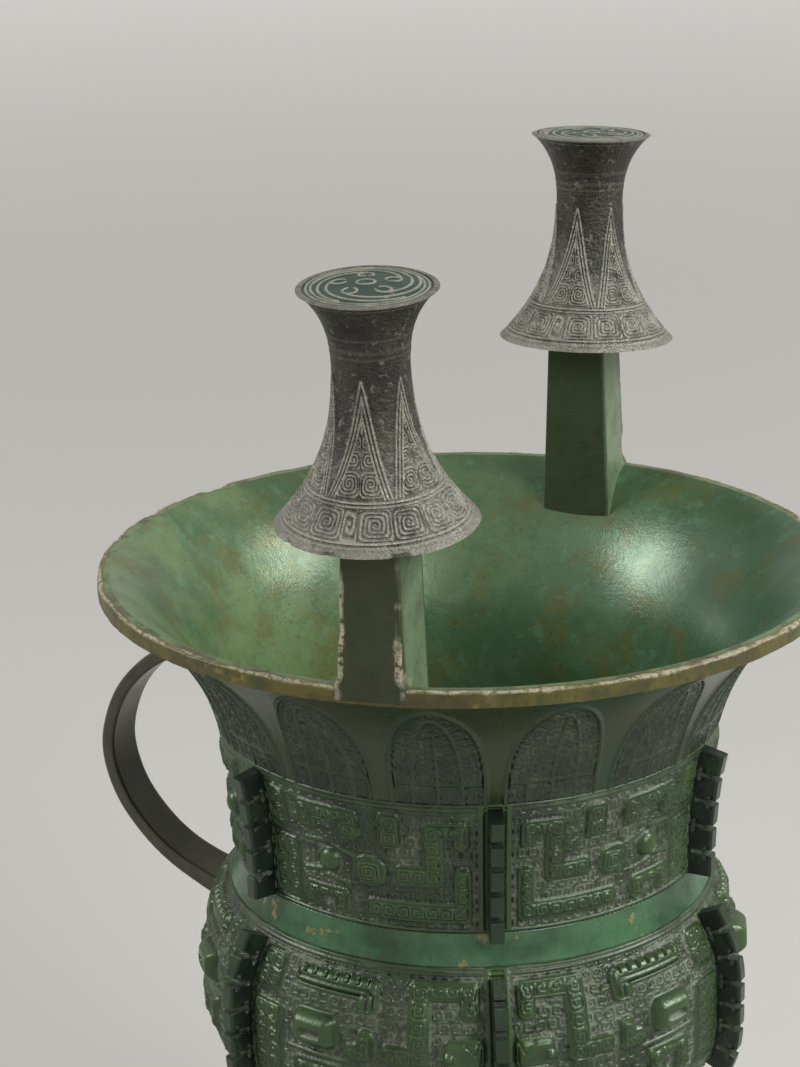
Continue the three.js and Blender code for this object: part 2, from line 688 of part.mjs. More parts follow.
const neckFlange = flangeSolid(NECK_FLANGE, 0);
const bellyFlange = flangeSolid(BELLY_FLANGE, 0);
FLANGE_AZIMUTHS.forEach((azimuth, i) => {
  addPiece(`neck_flange_${i + 1}`, neckFlange, bronze(0x2b302a, 0.5), azimuth);
  addPiece(`belly_flange_${i + 1}`, bellyFlange, bronze(0x2b302a, 0.5), azimuth);
});
addPiece('handle_flange', flangeSolid(SHORT_FLANGE, 0), bronze(0x2b302a, 0.5), HANDLE_AZIMUTH);

SPACER_AZIMUTHS.forEach((azimuth, i) => {
  addPiece(`floor_spacer_${i + 1}`, spacerBlock(azimuth, 0), bronze(0x5c6a4c, 0.6));
});

export default jia;
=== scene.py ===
import functools
import math

import bmesh
import bpy
import numpy as np
from bpy.props import FloatProperty, FloatVectorProperty, PointerProperty
from mathutils import Matrix, Vector


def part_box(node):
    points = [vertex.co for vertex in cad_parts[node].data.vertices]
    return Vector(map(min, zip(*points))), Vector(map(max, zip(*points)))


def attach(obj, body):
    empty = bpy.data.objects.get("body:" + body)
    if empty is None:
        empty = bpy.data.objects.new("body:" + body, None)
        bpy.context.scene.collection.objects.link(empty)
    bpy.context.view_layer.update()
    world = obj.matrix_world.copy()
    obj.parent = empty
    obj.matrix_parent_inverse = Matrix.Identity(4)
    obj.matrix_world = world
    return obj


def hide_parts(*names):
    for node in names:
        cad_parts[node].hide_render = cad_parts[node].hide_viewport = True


bl_info = {
    "name": "Bronze jia",
    "version": (1, 0, 0),
    "blender": (4, 5, 0),
    "location": "3D View > Sidebar > Jia",
    "description": "Cast ornament, patina and studio for a bronze jia wine vessel",
    "category": "Object",
}

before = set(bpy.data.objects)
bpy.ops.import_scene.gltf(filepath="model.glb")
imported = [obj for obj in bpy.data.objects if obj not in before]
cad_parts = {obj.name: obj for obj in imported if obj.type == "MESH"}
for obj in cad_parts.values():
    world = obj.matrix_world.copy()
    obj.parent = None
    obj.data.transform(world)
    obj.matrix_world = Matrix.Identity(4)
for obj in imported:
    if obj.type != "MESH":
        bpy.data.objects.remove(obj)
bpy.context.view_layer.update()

# Sizes of the solids, in millimetres; depths are measured down from the rim
RIM_HEIGHT = 1000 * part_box("vessel_body")[1].z
RIM_RADIUS = 145
LIP_HEIGHT = 4.5
LIP_UNDERCUT = 5
LIP_BEVEL = 1
LIP_JOIN_DEPTH = 6.5
LIP_APRON = 1.5
LIP_INNER = RIM_RADIUS - LIP_UNDERCUT
WALL = 4.5
NECK_RADIUS = 94.5
NECK_DEPTH = 112
FLARE_LENGTH = 34
SHOULDER_TOP = 117
SHOULDER_BOTTOM = 160
BELLY_RADIUS = 107.5
BELLY_DEPTH = 172
BASE_HEIGHT = 54
BASE_POWER = 3
FLANGE_THICKNESS = 5.5
FLANGE_REACH = 10
FLANGE_ROOT = 1.5
NOTCH_DEPTH = 4.5
NOTCH_HEIGHT = 2.4
BLOCK_PITCH = 9.4
FLANGE_AZIMUTHS = (30, 90, 150, 210, 330)
HANDLE_AZIMUTH = 270
HANDLE_FLANGE_SPAN = (172, 198)
HANDLE_OUTLINE = ((122, 0.025), (141, 0.099), (157.5, 0.244), (165.5, 0.43), (163, 0.591),
                  (153, 0.7355), (134.5, 0.872))
HANDLE_DEPTHS = (45, 166)
HANDLE_SINK = 5
HANDLE_WIDTH = (20, 24)
HANDLE_THICKNESS = (5.5, 9.5)
HANDLE_BED = (143, 174)
POST_AZIMUTHS = {"front": 10.7, "rear": 181}
POST_HEIGHT = 58.2
POST_SECTION_DEPTH = 27
POST_BATTER = 3.5
POST_OUTER_WIDTH = (24, 21)
POST_INNER_WIDTH = (30, 25)
POST_ROOT_RADIUS = 134.2
CAP_STANDOFF = 15
CAP_LEAN = 3.96
CAP_HEIGHT = 85.7
CAP_BASE_RADIUS = 36.5
CAP_WAIST_RADIUS = 14.4
CAP_WAIST_HEIGHT = 55
CAP_TOP_RADIUS = 25.2
CAP_WALL = 3.2
CAP_EDGE = 1.5
CAP_CORE_HEIGHT = 46
CAP_RING = 2.6
LEG_AZIMUTHS = {"front": 30, "rear": 150, "handle_side": 270}
LEG_TOP_RADIUS = 98
LEG_TOP_HEIGHT = 184
LEG_SPLAY = 21
LEG_SPLAY_POWER = 1.5
LEG_OUTER_WIDTH = (44, 17)
LEG_INNER_WIDTH = (18, 8)
LEG_SECTION_DEPTH = (34, 13)
LEG_WALL = 3.5
LEG_CHANNEL = (44, 136)
LEG_MEETING = 176
SPACER_RADIUS = 38
SPACER_SIDE = 9

# The vessel's axis stands off the origin by half the handle's overhang
AXIS_OFFSET = (max(radius for radius, share in HANDLE_OUTLINE) - RIM_RADIUS) / 2
MM = 0.001

# How far the back of a plate of the wall lies inside the wall's outer face
BACKING = 2.4

# Rising leaves: depths of the tip and foot, then degrees, and the level line's height over the foot
LEAF_TOP, LEAF_BASE = 14.5, 61
LEAF_PITCH = 24
LEAF_HALF = 10.6
LEAF_LEVEL = 8.5
LEAF_CELL = 4.6

# Masks: where each band starts and ends, and where its flanges do, as depths
NECK_BAND, NECK_SPAN = (62, 117), (64, 117)
BELLY_BAND, BELLY_SPAN = (130, 198), (134, 198)
NECK_MIDDLE_RADIUS, BELLY_MIDDLE_RADIUS = 97, 107
NOSE_AZIMUTHS = (90, 210, 330)
MASK_HALF = 60
GROUND_CELL = 4.8
BAR_MARGIN = 1.6

# Raised bars of half a mask: degrees from the nose (from, to), then percent of the flange's span (from, to)
NECK_BARS = {
    "nose": ((2.6, 9.8, 6, 38),),
    "snout": ((3, 12.6, 44, 96),),
    "horn": ((12.3, 29.4, 8, 22), (12.3, 17.5, 8, 33), (23.5, 29.4, 8, 33)),
    "ear": ((26.8, 35.2, 44, 68),),
    "jaw": ((13.3, 25.8, 74, 84), (13.3, 17.8, 74, 94), (21.6, 25.8, 74, 94)),
    "quill": ((33.6, 39.5, 5, 35),),
    "body": ((37, 48.8, 47, 64), (43.6, 48.8, 11, 64), (44, 54.5, 11, 25), (50.8, 54.5, 11, 34)),
    "tail": ((30, 55, 76, 92), (50.8, 55, 48, 92)),
}
BELLY_BARS = {
    "nose": ((2.6, 10.5, 1, 26.5),),
    "snout": ((2.6, 12, 30, 88),),
    "brow": ((14, 35, 3, 16), (29.5, 35, 3, 23)),
    "ear": ((30.3, 34.3, 31.5, 53), (27.5, 34.3, 41, 53)),
    "body": ((41.5, 56.3, 1, 12.5), (52, 56.3, 1, 23.5), (41, 46, 1, 52.5), (35.5, 46, 38, 52.5)),
    "dragon": ((48.5, 57, 32, 52.5),),
    "jaw": ((15, 27, 58.5, 67), (15, 19.5, 58.5, 83), (22.5, 27, 58.5, 83)),
    "tail": ((30.5, 57, 66, 84), (52.5, 57, 58, 84)),
}
LOW_BARS = ("nose", "snout")
SMOOTH_BARS = ("dragon", "brow")
ROUND_BARS = ("ear",)
BAR_CORNER = 3.2

# Round eye and bosses: degrees from the nose, depth, radius, height. Eye with a slit: as a bar
NECK_EYE = (21, 92, 5, 3.8)
BELLY_BOSSES = ((49.9, 161.8, 2.7, 4.4), (53.5, 163.4, 1.5, 3.0), (21, 183.5, 1.6, 2.2))
BELLY_EYE = (15, 25.8, 27.5, 50)
BELLY_EYE_RISE, BELLY_EYE_CORNER, PUPIL_DEPTH = 2, 4.2, 2

# Strokes: degrees and depth of one end, then of the other
NECK_LIDS = ((13.5, 85.5, 20, 84.5), (22, 86, 27.5, 88.5), (13.5, 98.5, 19, 97), (19, 99, 26, 100.5))
BELLY_PUPIL = (18.6, 159.6, 22.3, 159.6)
BELLY_LID = (13.5, 168.8, 27.5, 169.4)
DRAGON_LINES = ((50, 156.6, 56, 156.6), (53, 156.6, 55.2, 160.2), (55.2, 160.2, 56, 156.6))
LID_HEIGHT = 1.1

# Level border lines, as depth and half width, and degrees to the upright one
NECK_LINES = ((62.7, 0.35), (64.7, 0.35), (115.9, 0.4))
BELLY_LINES = ((130.9, 0.4), (132.4, 0.3), (193.4, 0.4), (195.4, 0.4))
NECK_SIDE, BELLY_SIDE = 56.4, 57.4

# Brow of a belly mask: gaps between teeth along its top, and depths of two grooves under them
TOOTH_PITCH, FIRST_GAP, TOOTH_HEIGHT, GAP_DEPTH = 5, 4.6, 3, 1.6
BROW_GROOVES, GROOVE_DEPTH = (4.6, 6.7), 0.9

# Where the grooves turn down: distance before the end of the brow, then depths from and to under its top
BROW_TURNS = ((2.9, 6.6, 10.6), (5.2, 6.7, 11))

# T-shaped slots in the faces of a flange: half length of the crossbar, then how far out and how wide it is in
# every second slot and in the others
SLOT_HALF = 2.3
SLOT_CROSSES = ((2.6, 0.4), (7.6, 0.35))
SLOT_DEPTH = 0.75

# Threads of a cap, as heights over its base: ring lines, turned rings, the belt's middle and half height
CAP_RINGS = (2.6, 3.9, 14.3, 15.6)
CAP_TURNINGS = (63.6, 66, 70.6)
BELT_MIDDLE, BELT_HALF = 9.1, 4.7
BELT_SPIRAL, SEAM_SPIRAL = 24, 12
CAP_SEAM = 2.3
CAP_BASE_GIRTH_RADIUS = 36
TRIANGLE_FOOT, TRIANGLE_TIP = 16.6, 57
TRIANGLE_PITCH, TRIANGLE_HALF, TRIANGLE_TURN = 60, 29.3, 0.7
TRIANGLE_LINES = (0.35, 1.7, 3.0)
TRIANGLE_STEM = (37.4, 50)

# Spirals in a triangle: heights from and to, and degrees that a pair spans
TRIANGLE_SPIRALS = ((17.2, 25.4, 21), (26, 32, 17.5), (32.6, 37.2, 13))

# Whorl on a cap's disc: heads with a loop each round a ring off the middle, tails that sweep out, ring lines
WHORL_CENTRE = (-1.4, 2.6)
WHORL_RING = 3.2
WHORL_HEADS, WHORL_TURN = 5, -20
WHORL_REACH, WHORL_LOOP = 9.9, 2.6
WHORL_TAIL, WHORL_SWEEP = (12.5, 19.1), 150
DISC_LINES = (19.6, 21.2)
DISC_RISE = 1.1
DISC_SINK = 0.42

# Hanging leaf of a leg: height of its tip and of its full width, share of the leg's width, and spiral cell
LEG_LEAF = (26, 86)
LEG_LEAF_SHARE = 0.78
LEG_LEAF_CELL = 4.4

# Meshes: radii at which the columns of the leaves and caps stand a grid step apart, and rows of a flange
LEAF_MIDDLE_RADIUS = 112
CAP_COLUMN_RADIUS = 35
FLANGE_ROW = 0.45

# Shades that every patina has: a fine speckle, and the dark in its smallest pits
SPECKLE, PIT_SHADE = "#ced1c8", "#272c27"

# Lamps: places in metres from the vessel's middle, side in metres, spread in degrees
LAMPS = {"key": (2.5, 1.1, 2.3), "side": (-2.7, -1.2, 1.9), "front": (3.1, -1.5, 2.0)}
LAMP_SIDE, LAMP_SPREAD = 1.4, 130
VESSEL_MIDDLE = 0.3
FLOOR_HALF = 30
FLOOR_FADE = (0.7, 5)


def linear(hex_colour):
    """sRGB hex colour as linear red, green and blue."""
    parts = [int(hex_colour[i:i + 2], 16) / 255 for i in (1, 3, 5)]
    return tuple(c / 12.92 if c <= 0.04045 else ((c + 0.055) / 1.055) ** 2.4 for c in parts)


def colour_property(name, hex_colour, description):
    return FloatVectorProperty(name=name, description=description, default=linear(hex_colour),
                               subtype="COLOR", size=3, min=0, max=1)


def length_property(name, millimetres, description):
    return FloatProperty(name=name, description=description, default=millimetres * MM,
                         subtype="DISTANCE", unit="LENGTH", min=0.0001, max=0.05, precision=5)


def power_property(name, watts, description):
    return FloatProperty(name=name, description=description, default=watts, min=0, unit="POWER")


def strength_property(name, strength, description):
    return FloatProperty(name=name, description=description, default=strength, min=0, max=2)


class JiaOrnament(bpy.types.PropertyGroup):
    thread_pitch: length_property("Thread pitch", 1.4, "Distance between two lines of the squared spirals")
    cap_pitch: length_property("Cap thread pitch", 1.12, "Distance between two lines on the caps")
    ground_relief: length_property("Ground relief", 0.6, "Height of the spiral threads on the ground")
    leaf_relief: length_property("Leaf relief", 0.85, "Height of the lines on the rising leaves")
    neck_relief: length_property("Neck mask relief", 2.3, "Height of the raised bars on the neck")
    belly_relief: length_property("Belly mask relief", 2.9, "Height of the raised bars on the belly")
    carving: length_property("Carving", 0.55, "Depth of the lines cut into the raised bars")
    spiral_cell: length_property("Spiral cell", 6.0, "Width of one squared spiral on a raised bar")
    leaf_grid: length_property("Leaf grid", 0.66, "Mesh spacing on the rising leaves")
    neck_grid: length_property("Neck grid", 0.47, "Mesh spacing on the neck masks")
    belly_grid: length_property("Belly grid", 0.52, "Mesh spacing on the belly masks")
    cap_grid: length_property("Cap grid", 0.5, "Mesh spacing on the caps")


class JiaColours(bpy.types.PropertyGroup):
    bowl: colour_property("Bowl", "#6b8258", "Glossy green patina of the bowl")
    bowl_deep: colour_property("Bowl, deep", "#3e5f40", "Deeper green drifts in the bowl")
    # Partly painted shade: this bluish side of the bowl is also darkened as if it lay in shade
    bowl_blue: colour_property("Bowl, bluish side", "#365f48", "Bluish green of one side of the bowl")
    olive: colour_property("Olive", "#615c2c", "Olive drifts in the bowl and on the lip")
    teal: colour_property("Teal", "#648f72", "Small blue-green specks")
    brown: colour_property("Brown", "#4f4630", "Small brown specks")
    relief: colour_property("Relief", "#2f442b", "Green patina of the raised bars")
    relief_light: colour_property("Relief, light", "#475f36", "Olive green patches of the raised bars")
    ground: colour_property("Ground", "#1f2823", "Dark patina between the bars")
    plain: colour_property("Plain band", "#46704d", "Jade green patina of the plain bands")
    plain_deep: colour_property("Plain band, deep", "#2c4532", "Dark drifts in the plain bands")
    earth: colour_property("Earth", "#868f7c", "Pale earth left in the recesses")
    crust: colour_property("Crust", "#b8af98", "Pale tan crust on worn edges")
    ochre: colour_property("Ochre", "#8f8350", "Ochre spots")
    cap: colour_property("Cap", "#413f39", "Warm grey skin of the caps")
    # Partly painted reflection: the flared lower part is painted lighter as if it caught the light
    cap_low: colour_property("Cap, lower part", "#6e6c66", "Bare warm grey of the flared part of the caps")
    cap_dark: colour_property("Cap, dark", "#272824", "Dark patches of the caps")
    # Partly painted highlight: the raised threads are painted paler as if they caught the light
    cap_line: colour_property("Cap lines", "#a3a194", "Rubbed pale threads of the caps")
    disc: colour_property("Cap disc", "#18352a", "Dark green top of the caps")
    post: colour_property("Post", "#38432a", "Olive-brown outer face of the posts")
    # Partly painted light: the post flanks are painted lighter as if lit
    flank: colour_property("Post flank", "#74896a", "Light green flanks of the posts")
    inner_post: colour_property("Post, inner face", "#49543c", "Grey-green inner face of the posts")
    handle: colour_property("Handle", "#3a3b27", "Dark olive patina of the handle")
    clay: colour_property("Core clay", "#7d6a52", "Fired clay of the casting cores")


class JiaStudio(bpy.types.PropertyGroup):
    floor: colour_property("Floor", "#cbc9c4", "Pale painted floor")
    backdrop: colour_property("Backdrop", "#e6e4df", "Colour of the world round the vessel")
    key_power: power_property("Key light", 44, "Power of the light behind on the right")
    side_power: power_property("Side light", 32, "Power of the light on the left")
    front_power: power_property("Front light", 31, "Power of the light in front on the right")
    ambient: strength_property("Ambient", 0.24, "Strength of the even light")
    floor_lift: strength_property("Floor lift", 0.51, "Light added to the far floor for the camera alone")


def ramp(value, start, end):
    """0 before start and 1 after end, with a smooth rise between them."""
    t = np.clip((value - start) / (end - start), 0, 1)
    return t * t * (3 - 2 * t)


def highest(*fields):
    """Greatest of several fields at each point."""
    return functools.reduce(np.maximum, fields)


def between(ends, share):
    """Value that goes evenly from the first end to the second."""
    return ends[0] + (ends[1] - ends[0]) * share


def full_turn(count):
    """Azimuths in degrees, evenly spaced once round."""
    return np.linspace(0, 360, count + 1)[:-1]


def band(value, centre, half, soft):
    """1 within half of the centre, falling smoothly to 0 over the soft width."""
    return 1 - ramp(np.abs(value - centre), half, half + soft)


def bar(x, y, x0, x1, y0, y1, corner):
    """Signed distance to a bar with rounded corners: the length outside it less the depth inside."""
    dx = np.abs(x - (x0 + x1) / 2) - (x1 - x0) / 2 + corner
    dy = np.abs(y - (y0 + y1) / 2) - (y1 - y0) / 2 + corner
    return np.hypot(np.maximum(dx, 0), np.maximum(dy, 0)) + np.minimum(np.maximum(dx, dy), 0) - corner


def stroke(x, y, ends, per_degree=1):
    """Distance to a straight stroke: to the nearest point between its two ends, whose x may be in degrees."""
    x0, y0, x1, y1 = ends
    x0, x1 = x0 * per_degree, x1 * per_degree
    along = ((x - x0) * (x1 - x0) + (y - y0) * (y1 - y0)) / ((x1 - x0) ** 2 + (y1 - y0) ** 2)
    along = np.clip(along, 0, 1)
    return np.hypot(x - x0 - along * (x1 - x0), y - y0 - along * (y1 - y0))


def dome(gap, radius, height):
    """Half an ellipsoid over a round foot, by the distance from its middle."""
    return height * np.sqrt(np.clip(1 - (gap / radius) ** 2, 0, 1))


def spiral(u, v, turns, square=4.6, width=0.42):
    """Squared spiral in a cell from -1 to 1: a cosine of the distance times the turns, less the angle. The
    distance is a power mean of both sides, square at the rim of the cell and rounder towards its middle. A
    larger width makes the ridges wider and the grooves between them narrower."""
    across, down = np.abs(u), np.abs(v)
    power = 2.3 + square * np.maximum(across, down)
    reach = (across ** power + down ** power + 1e-9) ** (1 / power)
    wave = np.cos(2 * np.pi * (turns * reach - np.arctan2(v, u) / (2 * np.pi)))
    return np.clip(width + 0.8 * wave, 0, 1)


def spiral_ground(x, y, cell, pitch):
    """Squared spirals side by side, every second one turned over, every second row moved by half a cell."""
    row = np.floor(y / cell)
    shifted = x / cell + 0.5 * (row % 2)
    column = np.floor(shifted)
    u = (2 * (shifted - column) - 1) * np.where((column + row) % 2 > 0, -1, 1)
    v = 2 * (y / cell - row) - 1
    return spiral(u, v, cell / 2 / pitch) * (1 - ramp(np.maximum(np.abs(u), np.abs(v)), 0.88, 1.0))


def bar_spirals(x, y, x0, x1, y0, y1, margin, cell, pitch):
    """Squared spirals that fill a bar inside its margin: as many whole cells as fit each way."""
    wide, high = x1 - x0 - 2 * margin, y1 - y0 - 2 * margin
    across, down = max(1, round(wide / cell)), max(1, round(high / cell))
    u, v = (x - x0 - margin) / wide * across, (y - y0 - margin) / high * down
    inside = (u > 0) & (u < across) & (v > 0) & (v < down)
    flip = np.where((np.floor(u) + np.floor(v)) % 2 > 0, -1, 1)
    turns = max((wide / across + high / down) / 4 / pitch, 0.75)
    return np.where(inside, spiral((2 * (u % 1) - 1) * flip, 2 * (v % 1) - 1, turns, 4.6, 0.68), 1)


def blurred(values, cells):
    """Mean over a square of cells each way, from running sums."""
    for axis in (0, 1):
        padded = np.pad(values, [(cells + 1, cells) if a == axis else (0, 0) for a in (0, 1)], mode="edge")
        total = np.cumsum(padded, axis=axis)
        low, high = [slice(None)] * 2, [slice(None)] * 2
        low[axis], high[axis] = slice(0, -2 * cells - 1), slice(2 * cells + 1, None)
        values = (total[tuple(high)] - total[tuple(low)]) / (2 * cells + 1)
    return values


def uneven(along, length, seed, sizes):
    """Uneven line over a length, from about -1 to 1, that closes on itself: seeded random values at even
    steps of each size, joined smoothly and added with weights that fall with the root of the size."""
    rng = np.random.default_rng(seed)
    total, weights = 0, 0
    for size in sizes:
        cells = max(int(round(length / size)), 3)
        values = rng.uniform(-1, 1, cells)
        place = np.asarray(along) / length * cells
        first = np.floor(place).astype(int)
        share = ramp(place - first, 0, 1)
        weight = math.sqrt(size / sizes[0])
        total = total + weight * (values[first % cells] * (1 - share) + values[(first + 1) % cells] * share)
        weights += weight * weight
    return total / math.sqrt(weights) * 1.3


def body_radius(depth):
    """Outer radius of the body: catenary flare, cosine shoulder, superelliptic bottom."""
    depth = np.asarray(depth, float)
    lip_rise = math.cosh((NECK_DEPTH - LIP_HEIGHT) / FLARE_LENGTH) - 1
    rise = (np.cosh((NECK_DEPTH - depth) / FLARE_LENGTH) - 1) / lip_rise
    flare = NECK_RADIUS + (RIM_RADIUS - LIP_UNDERCUT - NECK_RADIUS) * rise
    t = np.clip((depth - SHOULDER_TOP) / (SHOULDER_BOTTOM - SHOULDER_TOP), 0, 1)
    shoulder = NECK_RADIUS + (BELLY_RADIUS - NECK_RADIUS) * (1 - np.cos(np.pi * t)) / 2
    s = np.clip((depth - BELLY_DEPTH) / BASE_HEIGHT, 0, 1)
    base = BELLY_RADIUS * (1 - s ** BASE_POWER) ** (1 / BASE_POWER)
    return np.where(depth < NECK_DEPTH, flare, np.where(depth < BELLY_DEPTH, shoulder, base))


def wall_point(depth, reach):
    """Radius and height at a distance along the wall's normal from its outer face."""
    depth = np.asarray(depth, float)
    step = 0.01
    slope = (body_radius(depth + step) - body_radius(depth - step)) / (2 * step)
    length = np.hypot(1, slope)
    return body_radius(depth) + reach / length, RIM_HEIGHT - depth + reach * slope / length


def base_point(angle, reach):
    """Radius and height on the rounded bottom, by angle from the belly (0) to the axis (90 degrees)."""
    across, down = np.cos(np.radians(angle)), np.sin(np.radians(angle))
    power = 2 / BASE_POWER
    across = np.maximum(across, 0)
    radius = BELLY_RADIUS * across ** power
    drop = BASE_HEIGHT * down ** power
    normal_r = across ** (2 - power) / BELLY_RADIUS
    normal_z = down ** (2 - power) / BASE_HEIGHT
    length = np.hypot(normal_r, normal_z)
    radius = np.maximum(radius + reach * normal_r / length, 0)
    return radius, RIM_HEIGHT - BELLY_DEPTH - drop - reach * normal_z / length


def inner_line(reach, flare_rows, shoulder_rows, base_rows):
    """Wall profile at a distance from the outer face, from under the lip down to the axis."""
    flare = np.linspace(LIP_JOIN_DEPTH, NECK_DEPTH, flare_rows)
    shoulder = np.linspace(SHOULDER_TOP, BELLY_DEPTH, shoulder_rows)
    upper = wall_point(np.concatenate([flare, shoulder]), reach)
    lower = base_point(np.linspace(4, 90, base_rows), reach)
    radius = np.concatenate([upper[0], lower[0]])
    radius[-1] = 0
    return radius, np.concatenate([upper[1], lower[1]])


def even_depths(top, bottom, step):
    """Depths whose points on the wall stand an even step apart along its profile."""
    fine = np.linspace(top, bottom, 2000)
    run = np.concatenate([[0], np.cumsum(np.hypot(np.diff(body_radius(fine)), np.diff(fine)))])
    return np.interp(np.linspace(0, run[-1], int(run[-1] / step) + 2), run, fine)


def slant(depths):
    """Distance along the wall's profile from its first row to each row."""
    fine = np.linspace(depths[0], depths[-1], 2000)
    run = np.concatenate([[0], np.cumsum(np.hypot(np.diff(body_radius(fine)), np.diff(fine)))])
    return np.interp(depths, fine, run)


def turned(azimuths, radius, height):
    """Points at azimuths in degrees: the radius times the sine along X and times minus the cosine along Y."""
    a = np.radians(np.asarray(azimuths, float))[:, None]
    radius = np.broadcast_to(radius, (a.shape[0], np.shape(radius)[-1]))
    height = np.broadcast_to(height, radius.shape)
    return np.stack([radius * np.sin(a), -radius * np.cos(a), height], -1)


def placed(points, azimuth):
    """Local points (x across, y = minus the radius, z) turned about the axis to an azimuth."""
    a = math.radians(azimuth)
    turn = np.array([[math.cos(a), math.sin(a), 0], [-math.sin(a), math.cos(a), 0], [0, 0, 1]])
    return points @ turn


def skin(name, rings, finish, replaced, closed=False, poles=False, marks=None, crease=None):
    """Solid over rings of equal point counts, in millimetres about the vessel's axis: ring i joins ring i + 1
    by quads, and the last ring joins the first, or else both ends get a flat face. Faces are turned outwards
    by the sign of the enclosed volume."""
    count, size = rings.shape[:2]
    points = rings.reshape(-1, 3) * MM
    index = np.arange(count * size).reshape(count, size)
    here, there = (index, np.roll(index, -1, 0)) if closed else (index[:-1], index[1:])
    quads = np.stack([here, np.roll(here, -1, 1), np.roll(there, -1, 1), there], -1).reshape(-1, 4)
    ends = [] if closed or poles else [index[0][::-1], index[-1]]
    a, b, c, d = (points[quads[:, k]] for k in range(4))
    volume = (a * (np.cross(b, c) + np.cross(c, d))).sum()
    for end in ends:
        fan = points[end]
        volume += (fan[0] * np.cross(fan[1:-1], fan[2:])).sum()
    if volume < 0:
        quads, ends = quads[:, ::-1], [end[::-1] for end in ends]
    corners = np.concatenate([quads.ravel(), *ends]).astype(np.int32)
    sizes = np.array([4] * len(quads) + [len(end) for end in ends])
    mesh = bpy.data.meshes.new(name)
    mesh.vertices.add(len(points))
    mesh.vertices.foreach_set("co", (points + [AXIS_OFFSET * MM, 0, 0]).astype(np.float32).ravel())
    mesh.loops.add(len(corners))
    mesh.loops.foreach_set("vertex_index", corners)
    mesh.polygons.add(len(sizes))
    mesh.polygons.foreach_set("loop_start", np.concatenate([[0], np.cumsum(sizes)[:-1]]).astype(np.int32))
    mesh.update(calc_edges=True)
    for mark, values in (marks or {}).items():
        layer = mesh.attributes.new(mark, "FLOAT", "POINT")
        layer.data.foreach_set("value", np.broadcast_to(values, (count, size)).astype(np.float32).ravel())
    if poles:
        bm = bmesh.new()
        bm.from_mesh(mesh)
        bmesh.ops.remove_doubles(bm, verts=bm.verts, dist=1e-7)
        bm.to_mesh(mesh)
        bm.free()
    mesh.validate()
    mesh.shade_smooth()
    if crease:
        mesh.set_sharp_from_angle(angle=math.radians(crease))
    mesh.materials.append(finish)
    piece = bpy.data.objects.new(name, mesh)
    bpy.context.scene.collection.objects.link(piece)
    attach(piece, "root")
    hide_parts(*replaced)
    return piece


def wall_plate(name, azimuths, depths, relief, finish, marks, closed=False):
    """Curved plate of the wall: its outer face is moved out along the normal by the relief, and its back
    follows the wall a fixed distance inside."""
    base_r, base_z = wall_point(depths, 0)
    out_r, out_z = wall_point(depths, 1)
    back_r, back_z = wall_point(np.linspace(depths[-1], depths[0], 7), -BACKING)
    columns = len(azimuths)
    radius = np.concatenate([base_r + relief * (out_r - base_r), np.tile(back_r, (columns, 1))], 1)
    height = np.concatenate([base_z + relief * (out_z - base_z), np.tile(back_z, (columns, 1))], 1)
    marks = {k: np.pad(v, ((0, 0), (0, len(back_r)))) for k, v in marks.items()}
    return skin(name, turned(azimuths, radius, height), finish, ["vessel_body"], closed=closed,
                marks=marks, crease=None if closed else 80)


def cavity_marks(relief, cells, depth):
    """How far each point lies below (recess) and above (wear) the mean of its surroundings, as shares."""
    rise = relief - blurred(relief, cells)
    return {"recess": np.clip(-rise / depth, 0, 1), "wear": np.clip(rise / depth, 0, 1)}


# Materials


def add_node(tree, kind, inputs=None, output=0, **settings):
    """Adds a node, sets its properties, links or sets each named input, and returns one of its outputs."""
    node = tree.nodes.new(kind)
    for key, value in settings.items():
        setattr(node, key, value)
    for key, value in (inputs or {}).items():
        if isinstance(value, bpy.types.NodeSocket):
            tree.links.new(value, node.inputs[key])
        else:
            node.inputs[key].default_value = value
    return node.outputs[output] if node.outputs else None


def empty_material(name):
    material = bpy.data.materials.new(name)
    material.use_nodes = True
    material.node_tree.nodes.clear()
    return material


